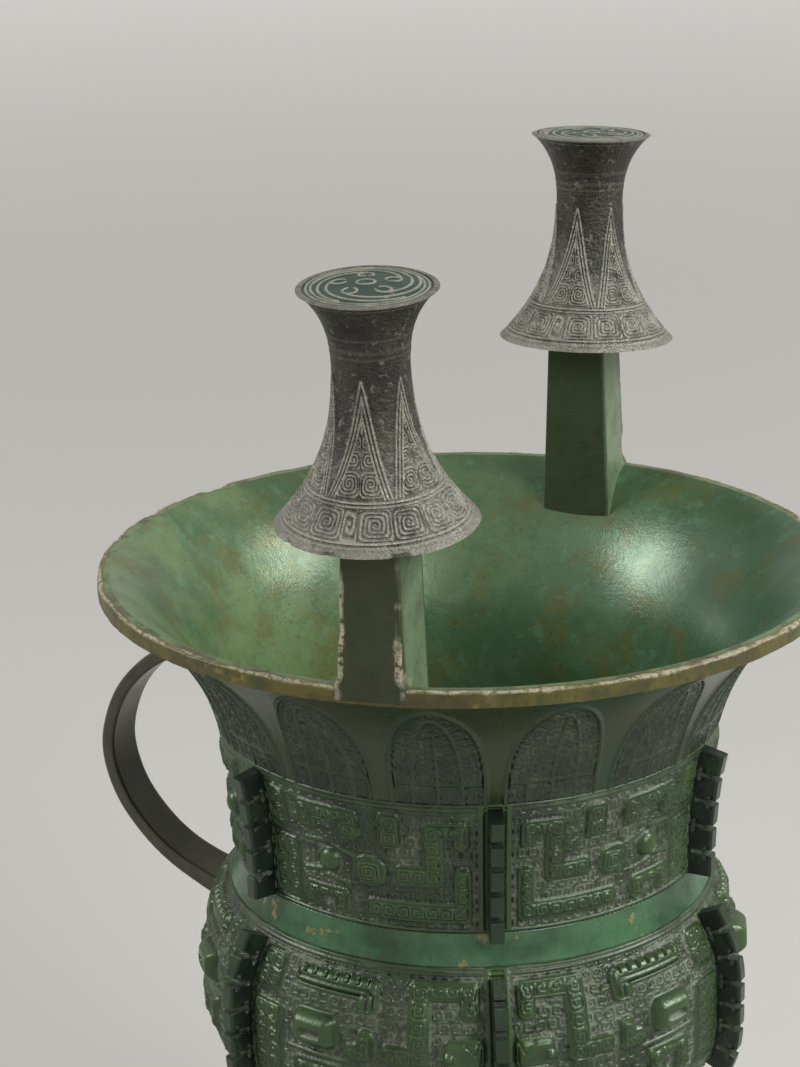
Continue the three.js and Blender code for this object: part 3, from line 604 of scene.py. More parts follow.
def patina(name, base, patches, ground=None, earth=None, crust=None, worn=None, worn_share=0.6, flank=None,
           gloss=0.34, metal=0.25, pits=0.2, pit_size=2.2):
    """Bronze patina, laid on in coats. Patches of other colours come in by noise of their own size; the
    ground colour lies where the cover attribute is 0, and in the grooves as painted shade; the worn colour
    where the wear attribute says, earth where the recess attribute says, patchily, and crust where the crust
    attribute says.
    Patina is glossy, earth and crust are matt."""
    material = empty_material(name)
    tree = material.node_tree
    place = add_node(tree, "ShaderNodeTexCoord", output="Object")
    shift = iter(range(100))

    def mottle(size, detail, fade=None):
        """Noise of a size in millimetres, moved so that no two are alike. A fade gives the noise values
        between which it rises smoothly, and the values that it rises from and to."""
        moved = add_node(tree, "ShaderNodeMapping", {"Vector": place, "Location": (0.37 * next(shift),) * 3})
        value = add_node(tree, "ShaderNodeTexNoise", {
            "Vector": moved, "Scale": 1000 / size, "Detail": detail, "Roughness": 0.6}, "Fac")
        if not fade:
            return value
        low, high, start, end = fade
        return add_node(tree, "ShaderNodeMapRange", {
            "Value": value, "From Min": low, "From Max": high, "To Min": start, "To Max": end},
            interpolation_type="SMOOTHSTEP")

    def within(mark, mask):
        """A mask, or a number, times an attribute of the mesh."""
        share = add_node(tree, "ShaderNodeAttribute", output="Fac", attribute_name=mark)
        return add_node(tree, "ShaderNodeMath", {0: share, 1: mask}, operation="MULTIPLY")

    coats = [(within("flank", 1.0), flank)] if flank else []
    coats += [(mottle(size, 5, (low, high, 0, strength)), patch)
              for patch, size, low, high, strength in patches]
    if ground:
        bare = add_node(tree, "ShaderNodeMix", {
            0: mottle(14, 4, (0.4, 0.65, 0, 0.6)), 6: (*ground, 1), 7: (*base, 1)}, 2, data_type="RGBA")
        uncovered = add_node(tree, "ShaderNodeMapRange", {
            "Value": within("cover", 1.0), "To Min": 1.0, "To Max": 0.0})
        coats.append((uncovered, bare))
    coats.append((mottle(2.6, 3, (0.35, 0.7, 0, 0.3)), linear(SPECKLE), "SOFT_LIGHT"))
    coats.append((mottle(1.5, 2, (0.6, 0.72, 0, 0.4)), linear(PIT_SHADE)))
    if ground:
        # Painted shade: the grooves on the bars take the ground's dark colour
        coats.append((within("groove", 0.6), ground))
    if worn:
        coats.append((within("wear", mottle(7, 4, (0.3, 0.6, worn_share * 0.55, worn_share))), worn))
    matt = mottle(0.8, 2, (0, 1, 0, 0.04))
    if earth:
        drift = add_node(tree, "ShaderNodeMath", {
            0: mottle(34, 3, (0.36, 0.62, 0.1, 0.8)), 1: mottle(5, 4, (0.3, 0.6, 0.2, 1.0))},
            operation="MULTIPLY")
        earthy = within("recess", drift)
        coats.append((earthy, earth))
        matt = add_node(tree, "ShaderNodeMath", {0: matt, 1: earthy}, operation="MAXIMUM")
    if crust:
        patchy = add_node(tree, "ShaderNodeMath", {
            0: mottle(2.4, 5, (0.36, 0.5, 0, 1)), 1: mottle(15, 3, (0.34, 0.5, 0.25, 1.0))},
            operation="MULTIPLY")
        crusty = within("crust", patchy)
        flaked = add_node(tree, "ShaderNodeMix", {
            0: mottle(1.1, 3, (0.4, 0.7, 0, 0.55)), 6: (*crust, 1), 7: (*base, 1)}, 2, data_type="RGBA")
        coats.append((crusty, flaked))
        matt = add_node(tree, "ShaderNodeMath", {0: matt, 1: crusty}, operation="MAXIMUM")
    colour = (*base, 1)
    for mask, paint, *blend in coats:
        paint = paint if isinstance(paint, bpy.types.NodeSocket) else (*paint, 1)
        colour = add_node(tree, "ShaderNodeMix", {0: mask, 6: colour, 7: paint}, 2, data_type="RGBA",
                          blend_type=blend[0] if blend else "MIX")
    sheen = mottle(24, 5, (0.3, 0.7, gloss * 0.8, gloss * 1.3))
    dull = add_node(tree, "ShaderNodeMapRange", {"Value": matt, "To Min": sheen, "To Max": 0.88})
    bright = add_node(tree, "ShaderNodeMapRange", {"Value": matt, "To Min": metal, "To Max": 0.0})
    coarse, fine = mottle(pit_size, 4), mottle(0.9, 2)
    fine = add_node(tree, "ShaderNodeMath", {0: fine, 1: 0.5}, operation="MULTIPLY")
    pitted = add_node(tree, "ShaderNodeMath", {0: coarse, 1: fine}, operation="ADD")
    bump = add_node(tree, "ShaderNodeBump", {"Height": pitted, "Strength": 0.8, "Distance": pits * MM})
    shader = add_node(tree, "ShaderNodeBsdfPrincipled", {
        "Base Color": colour, "Roughness": dull, "Metallic": bright, "Normal": bump})
    add_node(tree, "ShaderNodeOutputMaterial", {"Surface": shader})
    return material


def fired_clay(name, base):
    """Fired casting clay: matt, with grains of sand that darken and lighten it, drawn 2.4 mm wide so that
    they show."""
    material = empty_material(name)
    tree = material.node_tree
    place = add_node(tree, "ShaderNodeTexCoord", output="Object")
    grains = add_node(tree, "ShaderNodeTexNoise", {
        "Vector": place, "Scale": 1000 / 2.4, "Detail": 6.0}, "Fac")
    ramped = add_node(tree, "ShaderNodeValToRGB", {"Fac": grains})
    for element, position, gain in zip(ramped.node.color_ramp.elements, (0.35, 0.65), (0.55, 1.35)):
        element.position, element.color = position, (*(c * gain for c in base), 1)
    bump = add_node(tree, "ShaderNodeBump", {"Height": grains, "Strength": 0.6, "Distance": 0.6 * MM})
    shader = add_node(tree, "ShaderNodeBsdfPrincipled", {
        "Base Color": ramped, "Roughness": 0.95, "Normal": bump})
    add_node(tree, "ShaderNodeOutputMaterial", {"Surface": shader})
    return material


def finish(kind):
    """The material of that name, made from the scene's colours the first time it is asked for. A patch is a
    colour, its size in millimetres, the noise values between which it fades in, and its strength."""
    made = bpy.data.materials.get(kind)
    if made:
        return made
    names = JiaColours.__annotations__
    c = {name: tuple(getattr(bpy.context.scene.jia_colours, name)) for name in names}
    if kind == "fired_casting_clay":
        return fired_clay(kind, c["clay"])
    specks = ((c["teal"], 7, 0.53, 0.68, 0.35), (c["brown"], 3.6, 0.6, 0.72, 0.5))
    recipes = {
        # Long-buried tin bronze, polished glassy by hands and earth: drifting greens with fine specks
        "glossy_green_bowl_patina": dict(
            # The flank colour paints one side of the bowl bluish and, as painted shade, darker
            base=c["bowl"], flank=c["bowl_blue"], gloss=0.26, metal=0.2, pits=0.12,
            patches=((c["bowl_deep"], 60, 0.47, 0.62, 0.75), (c["olive"], 24, 0.47, 0.66, 0.6),
                     (c["bowl_deep"], 11, 0.5, 0.7, 0.45), *specks)),
        # The lip is olive with brown drifts, its upper edge rough with pale crust
        "olive_lip_patina": dict(
            base=c["olive"], crust=c["crust"], flank=c["bowl"], gloss=0.4, pits=0.3,
            patches=((c["brown"], 16, 0.44, 0.6, 0.8), (c["relief"], 9, 0.48, 0.68, 0.6),
                     (c["ochre"], 5, 0.6, 0.7, 0.6))),
        # Cast relief: glossy green bars over a dark ground whose threads hold pale earth
        "cast_relief_patina": dict(
            base=c["relief"], ground=c["ground"], earth=c["earth"], worn=c["relief_light"], gloss=0.26,
            patches=((c["relief_light"], 26, 0.46, 0.66, 0.75), (c["plain_deep"], 14, 0.5, 0.7, 0.6),
                     specks[1])),
        # The flare: smooth dark green between leaves whose threads hold a little earth, olive near the lip
        "flare_patina": dict(
            base=c["post"], ground=c["ground"], earth=c["earth"], worn=c["relief"], flank=c["olive"],
            gloss=0.26,
            patches=((c["plain_deep"], 30, 0.45, 0.62, 0.85), (c["relief"], 13, 0.55, 0.72, 0.6), specks[1])),
        # Plain bands, rubbed smooth, jade green with ochre spots
        "jade_band_patina": dict(
            base=c["plain"], earth=c["earth"], gloss=0.22, metal=0.18, pits=0.1,
            patches=((c["plain_deep"], 36, 0.42, 0.64, 0.85), (c["relief_light"], 18, 0.5, 0.7, 0.4),
                     (c["ochre"], 11, 0.625, 0.655, 0.85), specks[1])),
        # Silvery grey skin rich in tin, rough and pitted, with rubbed threads and a barer lower part; the
        # pale threads are partly painted highlight, and the lighter lower part is partly painted reflection
        "grey_cap_patina": dict(
            base=c["cap"], worn=c["cap_line"], worn_share=0.8, flank=c["cap_low"], gloss=0.4, metal=0.5,
            pits=1.3, pit_size=2,
            patches=((c["cap_dark"], 12, 0.45, 0.65, 0.75), (c["brown"], 20, 0.52, 0.7, 0.4),
                     (c["cap_line"], 3, 0.56, 0.7, 0.45), (c["cap_dark"], 2.4, 0.54, 0.66, 0.6))),
        # Flat green top of a cap, its lines filled with pale earth
        "green_disc_patina": dict(
            base=c["disc"], worn=c["cap_line"], worn_share=0.85, gloss=0.42, metal=0.1,
            patches=((c["cap_dark"], 12, 0.5, 0.66, 0.6), (c["cap_line"], 5, 0.62, 0.7, 0.5))),
        # Posts: brown-olive outside with chipped pale edges, light green on the flanks, partly the patina's
        # green and partly painted light, as if the flanks were lit
        "olive_post_patina": dict(
            base=c["post"], crust=c["crust"], flank=c["flank"], worn=c["inner_post"], worn_share=1.0,
            gloss=0.34,
            patches=((c["brown"], 16, 0.46, 0.66, 0.35), (c["cap_dark"], 26, 0.5, 0.7, 0.4), specks[1])),
        # Flanges: dark blocks with a little pale earth in the notches
        "flange_patina": dict(
            base=c["ground"], earth=c["earth"], worn=c["relief"], gloss=0.3, metal=0.3,
            patches=((c["relief"], 9, 0.45, 0.65, 0.6), (c["cap_dark"], 5, 0.5, 0.7, 0.6))),
        # Handle: dark olive, rubbed by hands along its edges
        "handle_patina": dict(
            base=c["handle"], earth=c["earth"], worn=c["cap_low"], worn_share=0.4, gloss=0.32, metal=0.3,
            patches=((c["cap_dark"], 20, 0.45, 0.68, 0.7), (c["brown"], 30, 0.5, 0.7, 0.5))),
    }
    return patina(kind, **recipes[kind])


# Pieces


class JIA_OT_bowl(bpy.types.Operator):
    """Inner wall of the bowl and the lip round the mouth"""

    bl_idname = "jia.bowl"
    bl_label = "Bowl and lip"

    def execute(self, context):
        self.put_wall()
        self.put_lip()
        return {"FINISHED"}

    def put_wall(self):
        """The inner profile and a line behind it are turned about the axis. One side is bluish and darker, by
        a cosine
        of the azimuth and an uneven line: partly the patina's own bluish green and partly painted shade."""
        azimuths = full_turn(216)
        r_in, z_in = inner_line(-WALL, 34, 20, 24)
        r_back, z_back = inner_line(-BACKING, 20, 8, 10)
        radius = np.concatenate([r_in[::-1], [LIP_INNER, LIP_INNER], r_back])
        height = np.concatenate([z_in[::-1], [RIM_HEIGHT, RIM_HEIGHT - LIP_HEIGHT + 0.4], z_back])
        # Painted shade: one side of the bowl, bluish and darker, by a cosine of the azimuth and an uneven
        # line
        bluish = 0.45 + 0.45 * np.cos(np.radians(azimuths - 100)) + 0.2 * uneven(azimuths, 360, 5, (60, 25))
        skin("inner_wall", turned(azimuths, radius, height), finish("glossy_green_bowl_patina"),
             ["vessel_body"], closed=True, poles=True, crease=50,
             marks={"flank": np.clip(bluish, 0, 1)[:, None]})

    def put_lip(self):
        """The lip's section is turned about the axis: flat top, rounded edge, outer side with its apron, and
        underside. Its edge is ragged and chipped by uneven lines, and crust lies on the top from an uneven
        border outwards and on the side from the edge down to an uneven reach."""
        azimuths = full_turn(1260)
        around = 2 * math.pi * RIM_RADIUS
        along = np.radians(azimuths)[:, None] * RIM_RADIUS
        ragged = 0.15 + 0.15 * uneven(along, around, 3, (9, 4, 2))
        chips = ramp(uneven(along, around, 8, (17, 7, 3)), 0.7, 1.3)
        border = 0.72 + 0.14 * uneven(along, around, 12, (13, 5, 2))
        reach = 0.04 + 0.13 * uneven(along, around, 15, (23, 8, 3))
        top = np.linspace(0, 1, 8)
        bend = np.radians([20, 45, 70])
        side = RIM_HEIGHT - np.linspace(LIP_BEVEL, LIP_HEIGHT + LIP_APRON, 7)
        under_r = [RIM_RADIUS - 1.2, LIP_INNER - 3.4, LIP_INNER - 2.2]
        under_z = [side[-1], side[-1], RIM_HEIGHT - 1.4]
        bend_r = RIM_RADIUS - LIP_BEVEL * (1 - np.sin(bend))
        bend_z = RIM_HEIGHT - LIP_BEVEL * (1 - np.cos(bend))
        radius = np.concatenate([LIP_INNER + top * (LIP_UNDERCUT - LIP_BEVEL), bend_r, np.full(7, RIM_RADIUS),
                                 under_r])
        height = np.concatenate([np.full(8, RIM_HEIGHT), bend_z, side, under_z])
        outer = np.concatenate([top ** 2, np.ones(10), np.zeros(3)])
        upper = np.concatenate([top ** 2, [1, 0.9, 0.75], np.linspace(0.6, 0, 7), np.zeros(3)])
        radius = radius - ragged * outer - 0.7 * chips * upper
        height = height - (0.6 * ragged + 0.9 * chips) * upper
        on_top = np.arange(len(outer)) < len(top)
        share = np.concatenate([top, [0, 0, 0.1], np.linspace(0.2, 1, 7), np.full(3, 2)])
        crust = np.where(on_top, ramp(share, border, border + 0.2), 1 - ramp(share, reach, reach + 0.15))
        bowl_side = np.where(on_top, 1 - ramp(share, border - 0.25, border), 0)
        skin("mouth_lip", turned(azimuths, radius, height), finish("olive_lip_patina"),
             ["vessel_body"], closed=True, crease=60,
             marks={"crust": np.maximum(crust, 0.55 * chips * upper), "flank": bowl_side})


class JIA_OT_leaves(bpy.types.Operator):
    """Fifteen rising leaves on the flare, under the lip"""

    bl_idname = "jia.leaves"
    bl_label = "Rising leaves"

    def execute(self, context):
        """Each leaf is a superellipse of degrees across and slant distance up. Its outline is two raised
        lines, a pointed arch stands inside, and squared spirals fill the rest."""
        size = context.scene.jia_ornament
        lift, grid = size.leaf_relief / MM, size.leaf_grid / MM
        depths = even_depths(LIP_HEIGHT, NECK_BAND[0], grid)
        columns = int(math.radians(2 * MASK_HALF) * LEAF_MIDDLE_RADIUS / grid) + 1
        across = np.linspace(-MASK_HALF, MASK_HALF, columns)
        run = slant(depths)
        base_run, top_run = np.interp([LEAF_BASE, LEAF_TOP], depths, run)
        up = ((base_run - run) / (base_run - top_run))[None]
        leaf = ((across + LEAF_PITCH / 2) % LEAF_PITCH - LEAF_PITCH / 2)[:, None]
        per_degree = np.radians(body_radius(depths))[None]
        step = (np.gradient(run)[None], np.gradient(across)[:, None] * per_degree)

        def leaf_distance(half, reach, power):
            """Distance to a superellipse, negative inside: its formula over the length of its gradient."""
            form = (np.abs(leaf) / half) ** power + np.clip(up / reach, 0, 2) ** 2.2 - 1
            slope = np.hypot(np.gradient(form, axis=1) / step[0], np.gradient(form, axis=0) / step[1])
            return form / np.maximum(slope, 0.02)

        x, y = leaf * per_degree, (base_run - run)[None] + 0 * leaf
        edge = leaf_distance(LEAF_HALF, 1, 1.6)
        arch = leaf_distance(LEAF_HALF * 0.5, 0.86, 1.3)
        lines = highest(band(edge, -0.9, 0.6, 0.45), band(edge, -2.9, 0.3, 0.45),
                        band(arch, 0, 0.45, 0.5) * (edge < -2.4), band(x, 0, 0.45, 0.5) * (arch < 0),
                        band(y, LEAF_LEVEL, 0.35, 0.4) * (edge < -2.4))
        field = (edge < -3.6) & (np.abs(arch) > 1.1) & (np.abs(y - LEAF_LEVEL) > 0.9)
        field = field & ((arch > 0) | (np.abs(x) > 1.1))
        threads = spiral_ground(x, y, LEAF_CELL, size.thread_pitch / MM) * field
        relief = lift * (lines + 0.7 * threads - 0.3 * ramp(-edge, 1.4, 2.2)) * (edge < 0)
        marks = cavity_marks(relief, 3, 0.16)
        marks["recess"] = np.clip(0.35 * marks["recess"] * ramp(-edge, 2.6, 3.6), 0, 1)
        marks["cover"] = np.maximum(1 - ramp(-edge, -0.2, 0.4), 0.6 * lines)
        marks["flank"] = (1 - ramp(depths, 8, 15))[None] * (1 - ramp(-edge, -0.2, 0.8))
        for k, nose in enumerate(NOSE_AZIMUTHS):
            wall_plate(f"leaf_band_{k + 1}", nose + across, depths, relief, finish("flare_patina"), marks)
        return {"FINISHED"}


def mask_grid(band_depths, radius, step):
    """Degrees from the nose and depths of a mask's mesh, an even step apart."""
    columns = int(math.radians(MASK_HALF) * radius / step)
    return np.linspace(0, MASK_HALF, columns), even_depths(*band_depths, step)


def in_millimetres(edges, span, per_degree):
    """A bar's edges, given in degrees and percents, as distances from the nose and depths."""
    start, end, *percents = edges
    top, bottom = (span[0] + (span[1] - span[0]) * percent / 100 for percent in percents)
    return start * per_degree, end * per_degree, top, bottom


def mask_field(across, depths, bars, span, height, size, radius):
    """Relief of half a mask. Each group of bars is a rounded plateau with a line cut along its edge and
    squared spirals on top; the ground between carries finer spirals."""
    pitch, carving, cell = (value / MM for value in (size.thread_pitch, size.carving, size.spiral_cell))
    per_degree = math.radians(radius)
    x = np.abs(across)[:, None] * per_degree + 0 * depths[None]
    y = depths[None] + 0 * x
    relief = size.ground_relief / MM * spiral_ground(x, y, GROUND_CELL, pitch)
    cover, groove = np.zeros_like(relief), np.zeros_like(relief)
    for name, group in bars.items():
        shape, top = np.full(x.shape, 99.0), np.ones(x.shape)
        rounded = name in ROUND_BARS
        for edges in group:
            box = in_millimetres(edges, span, per_degree)
            small = min(box[1] - box[0], box[3] - box[2])
            distance = bar(x, y, *box, 0.42 * small if rounded else min(BAR_CORNER, 0.4 * small))
            threads = bar_spirals(x, y, *box, BAR_MARGIN, 2 * cell if rounded else cell, pitch)
            top = np.where(distance < shape, threads, top)
            shape = np.minimum(shape, distance)
        if name in SMOOTH_BARS:
            top = np.ones_like(top)
        cut = np.maximum(band(shape, -1.25, 0.15, 0.4), (1 - top) * ramp(-shape, 1.3, 1.7))
        plateau = 0.7 * ramp(-shape, -0.1, 0.8) + 0.3 * ramp(-shape, 0.2, 4)
        plateau = height * (0.55 if name in LOW_BARS else 1) * plateau - carving * cut
        relief = np.where(shape < 0.1, np.maximum(plateau, relief * ramp(shape, -0.6, 0.1)), relief)
        cover = np.maximum(cover, ramp(-shape, -0.1, 0.5))
        groove = np.maximum(groove, cut * (shape < -0.6))
    return x, y, per_degree, relief, cover, groove


def relief_marks(relief, cover, groove):
    """Marks of a mask: earth lies low in the ground between the bars, and grooves on the bars are painted
    dark as shade.
    """
    marks = cavity_marks(relief, 4, 0.22)
    marks["recess"] = np.clip(0.9 * marks["recess"] + 0.12, 0, 1) * (1 - 0.9 * cover)
    # Painted shade in the grooves cut into the bars
    marks["groove"] = np.clip(groove, 0, 1) * cover
    marks["cover"] = cover
    return marks


def mask_border(x, y, relief, cover, lines, edge, per_degree):
    """Raised lines round the mask: level ones at the given depths, and an upright one beside the flange."""
    side = edge * per_degree
    relief = relief * ramp(side - x, 0.4, 1.2)
    for depth, half in lines:
        relief = np.maximum(relief * (1 - band(y, depth, half + 0.5, 0.4)), 0.7 * band(y, depth, half, 0.4))
    upright = band(x, side + 1, 0.9, 0.4) * (y > lines[0][0]) * (y < lines[-1][0])
    return np.maximum(relief, 0.8 * upright), np.maximum(cover, ramp(x - side, -0.3, 0.2))


def put_masks(label, across, depths, relief, marks):
    """Both halves of the three masks: the half from the nose on, and its mirror image. Beside the handle's
    lower root the relief is left out."""
    for k, nose in enumerate(NOSE_AZIMUTHS):
        for side, name in ((1, "right"), (-1, "left")):
            azimuths = nose + side * across
            beside = 1 - ramp(np.abs(azimuths - HANDLE_AZIMUTH), 7, 7.6)
            bed = beside[:, None] * band(depths, sum(HANDLE_BED) / 2, np.ptp(HANDLE_BED) / 2, 1)[None]
            wall_plate(f"{label}_{k + 1}_{name}", azimuths, depths, relief * (1 - bed),
                       finish("cast_relief_patina"), marks)


class JIA_OT_neck_masks(bpy.types.Operator):
    """Three taotie masks round the neck"""

    bl_idname = "jia.neck_masks"
    bl_label = "Neck masks"

    def execute(self, context):
        """The bars of the mask, a domed eye with lids, and border lines, as heights on the neck's profile."""
        size = context.scene.jia_ornament
        across, depths = mask_grid(NECK_BAND, NECK_MIDDLE_RADIUS, size.neck_grid / MM)
        x, y, per_degree, relief, cover, groove = mask_field(
            across, depths, NECK_BARS, NECK_SPAN, size.neck_relief / MM, size, NECK_MIDDLE_RADIUS)
        for ends in NECK_LIDS:
            lid = stroke(x, y, ends, per_degree)
            relief = np.maximum(relief, LID_HEIGHT * (1 - ramp(lid, 0.5, 1.1)))
            cover = np.maximum(cover, 1 - ramp(lid, 0.6, 1.0))
        angle, depth, eye, rise = NECK_EYE
        gap = np.hypot(x - angle * per_degree, y - depth)
        relief = np.maximum(relief * ramp(gap, eye + 0.4, eye + 1.6), dome(gap, eye, rise))
        cover = np.maximum(cover, 1 - ramp(gap, eye - 0.3, eye + 0.2))
        relief, cover = mask_border(x, y, relief, cover, NECK_LINES, NECK_SIDE, per_degree)
        put_masks("neck_mask", across, depths, relief, relief_marks(relief, cover, groove))
        return {"FINISHED"}


class JIA_OT_belly_masks(bpy.types.Operator):
    """Three taotie masks round the belly"""

    bl_idname = "jia.belly_masks"
    bl_label = "Belly masks"

    def execute(self, context):
        """The bars of the mask with teeth and two grooves on the brow, a rounded eye with a slit pupil, and
        small bosses."""
        size = context.scene.jia_ornament
        high = size.belly_relief / MM
        across, depths = mask_grid(BELLY_BAND, BELLY_MIDDLE_RADIUS, size.belly_grid / MM)
        x, y, per_degree, relief, cover, groove = mask_field(
            across, depths, BELLY_BARS, BELLY_SPAN, high, size, BELLY_MIDDLE_RADIUS)
        gaps, grooves = self.brow_cuts(x, y, per_degree, relief)
        relief = relief - GAP_DEPTH * gaps - GROOVE_DEPTH * grooves
        eye = bar(x, y, *in_millimetres(BELLY_EYE, BELLY_SPAN, per_degree), BELLY_EYE_CORNER)
        pupil = 1 - ramp(stroke(x, y, BELLY_PUPIL, per_degree), 0.9, 1.7)
        rounded = (high + BELLY_EYE_RISE) * ramp(-eye, -0.1, 4.8) ** 0.5 - PUPIL_DEPTH * pupil
        relief = np.where(eye < 0, rounded, relief * ramp(eye, 0.3, 1.4))
        cover = np.where(eye < 0.2, 1 - pupil, cover)
        lid = stroke(x, y, BELLY_LID, per_degree)
        relief = np.maximum(relief, LID_HEIGHT * (1 - ramp(lid, 0.45, 1.0)))
        for angle, depth, radius, rise in BELLY_BOSSES:
            gap = np.hypot(x - angle * per_degree, y - depth)
            relief = np.maximum(relief, dome(gap, radius, rise))
            cover = np.maximum(cover, 1 - ramp(gap, radius - 0.3, radius + 0.1))
        for ends in DRAGON_LINES:
            relief = relief - 0.5 * (1 - ramp(stroke(x, y, ends, per_degree), 0.25, 0.65))
        relief, cover = mask_border(x, y, relief, cover, BELLY_LINES, BELLY_SIDE, per_degree)
        # The brow's gaps and grooves also get the painted shade of the grooves
        groove = np.maximum(groove * (eye > 0), np.clip(gaps + grooves, 0, 1))
        put_masks("belly_mask", across, depths, relief, relief_marks(relief, cover, groove))
        return {"FINISHED"}

    def brow_cuts(self, x, y, per_degree, relief):
        """Gaps between the teeth on the brow's top, by a cosine of the distance along it, and the two grooves
        under them, each with its turn down near the end. Both are kept to the brow."""
        start, end, top, _ = in_millimetres(BELLY_BARS["brow"][0], BELLY_SPAN, per_degree)
        brow = (relief > 0.8) * (y < top + 14) * (x > start) * (x < end)
        gaps = ramp(np.cos(2 * np.pi * (x - start - FIRST_GAP) / TOOTH_PITCH), 0.45, 0.85)
        gaps = gaps * (x > start + 2) * (x < end - TOOTH_PITCH) * (y > top - 1)
        gaps = gaps * (1 - ramp(y, top + TOOTH_HEIGHT, top + TOOTH_HEIGHT + 0.6))
        near, far = ((end - back, top + high, top + low) for back, high, low in BROW_TURNS)
        upper, lower = (top + depth for depth in BROW_GROOVES)
        grooves = np.maximum(band(y, upper, 0.3, 0.4), band(y, lower, 0.25, 0.4))
        grooves = grooves * (x > start + 1) * (x < far[0])
        for ends in ((far[0], far[1], far[0], far[2]), (far[0], upper, near[0], near[1]),
                     (near[0], near[1], near[0], near[2])):
            grooves = np.maximum(grooves, 1 - ramp(stroke(x, y, ends), 0.3, 0.7))
        return gaps * brow, grooves * brow


class JIA_OT_plain_bands(bpy.types.Operator):
    """Plain waist band and the rounded base"""

    bl_idname = "jia.plain_bands"
    bl_label = "Waist and base"

    def execute(self, context):
        """The waist is the wall's own profile, all the way round. The base turns the rounded bottom down to
        the axis, with square grooves round the three spacers."""
        azimuths = full_turn(360)
        depths = even_depths(NECK_BAND[1], BELLY_BAND[0], 0.8)
        level = np.zeros((len(azimuths), len(depths)))
        wall_plate("waist_band", azimuths, depths, level, finish("jade_band_patina"), {"recess": level},
                   closed=True)
        depths = np.linspace(BELLY_BAND[1], BELLY_BAND[1] + 6, 6)
        start = math.degrees(math.asin(((depths[-1] + 1 - BELLY_DEPTH) / BASE_HEIGHT) ** (BASE_POWER / 2)))
        outer_r, outer_z = (np.concatenate(pair) for pair in zip(
            wall_point(depths, 0), base_point(np.linspace(start, 90, 60), 0)))
        outer_r[-1] = 0
        back_r, back_z = outer_r[::-6].copy(), outer_z[::-6] + BACKING
        back_r = np.maximum(back_r - np.linspace(0, BACKING, len(back_r)), 0)
        groove = np.zeros((len(azimuths), len(outer_r)))
        for azimuth in LEG_AZIMUTHS.values():
            turn = np.radians(azimuths - azimuth)[:, None]
            reach = np.maximum(np.abs(outer_r * np.cos(turn) - SPACER_RADIUS), np.abs(outer_r * np.sin(turn)))
            groove = np.maximum(groove, 1 - ramp(reach, SPACER_SIDE / 2 + 0.1, SPACER_SIDE / 2 + 0.7))
        height = np.concatenate([outer_z + 0.8 * groove, np.tile(back_z, (len(azimuths), 1))], 1)
        radius = np.concatenate([outer_r, back_r])
        soot = np.pad(groove * (1 - 0.8 * groove), ((0, 0), (0, len(back_r))))
        skin("body_base", turned(azimuths, radius, height), finish("jade_band_patina"),
             ["vessel_body"], closed=True, poles=True, marks={"recess": soot}, crease=60)
        return {"FINISHED"}


class JIA_OT_flanges(bpy.types.Operator):
    """Notched flanges on the mould seams"""

    bl_idname = "jia.flanges"
    bl_label = "Flanges"

    def execute(self, context):
        """A U-shaped line over both faces and the outer edge is carried down the wall. The edge steps in at
        each notch, and T-shaped slots are sunk into both faces beside the notches."""
        specs = [(f"{part}_flange_{k + 1}", azimuth, span)
                 for part, span in (("neck", NECK_SPAN), ("belly", BELLY_SPAN))
                 for k, azimuth in enumerate(FLANGE_AZIMUTHS)]
        specs.append(("handle_flange", HANDLE_AZIMUTH, HANDLE_FLANGE_SPAN))
        share = np.linspace(0, 1, 20)
        side = np.concatenate([-np.ones(20), np.linspace(-1, 1, 9)[1:-1], np.ones(20)])
        out = np.concatenate([share, np.ones(7), share[::-1]])
        face = np.abs(side) == 1
        for node, azimuth, (top, bottom) in specs:
            blocks = max(int((bottom - top + NOTCH_HEIGHT) / BLOCK_PITCH), 1)
            pitch = (bottom - top + NOTCH_HEIGHT) / blocks
            depths = np.linspace(top, bottom, int((bottom - top) / FLANGE_ROW))[:, None]
            run = depths - top + NOTCH_HEIGHT / 2
            place = np.minimum(run % pitch, pitch - run % pitch)
            number = np.round(run / pitch)
            between_blocks = (number > 0) & (number < blocks)
            notch = (1 - ramp(place, NOTCH_HEIGHT / 2 - 0.4, NOTCH_HEIGHT / 2 + 0.1)) * between_blocks
            reach = -FLANGE_ROOT + out * (FLANGE_REACH - NOTCH_DEPTH * notch + FLANGE_ROOT)
            stem = (1 - ramp(place, 0.5, 1.0)) * ramp(reach, 1.6, 2.2)
            head, hook = (band(reach, at, half, 0.4) for at, half in SLOT_CROSSES)
            cross = (1 - ramp(place, SLOT_HALF, SLOT_HALF + 0.6)) * np.where(number % 2 > 0, head, hook)
            slots = np.maximum(stem, cross) * between_blocks * face
            half = FLANGE_THICKNESS / 2 - SLOT_DEPTH * slots
            half = half - 0.5 * ramp(reach, FLANGE_REACH - 0.9, FLANGE_REACH + 0.2)
            radius, height = wall_point(depths, reach)
            rings = np.stack([side * half, -radius, height], -1)
            cut = np.maximum(slots, notch * (out > 0.9))
            wear = ramp(reach, FLANGE_REACH - 1.5, FLANGE_REACH) * (1 - cut)
            skin(node.replace("flange", "flange_cast"), placed(rings, azimuth), finish("flange_patina"),
                 [node], marks={"recess": 0.8 * cut, "wear": wear}, crease=50)
        return {"FINISHED"}


def unit(vectors):
    """Rows of vectors, each over its length."""
    return vectors / np.linalg.norm(vectors, axis=-1, keepdims=True)


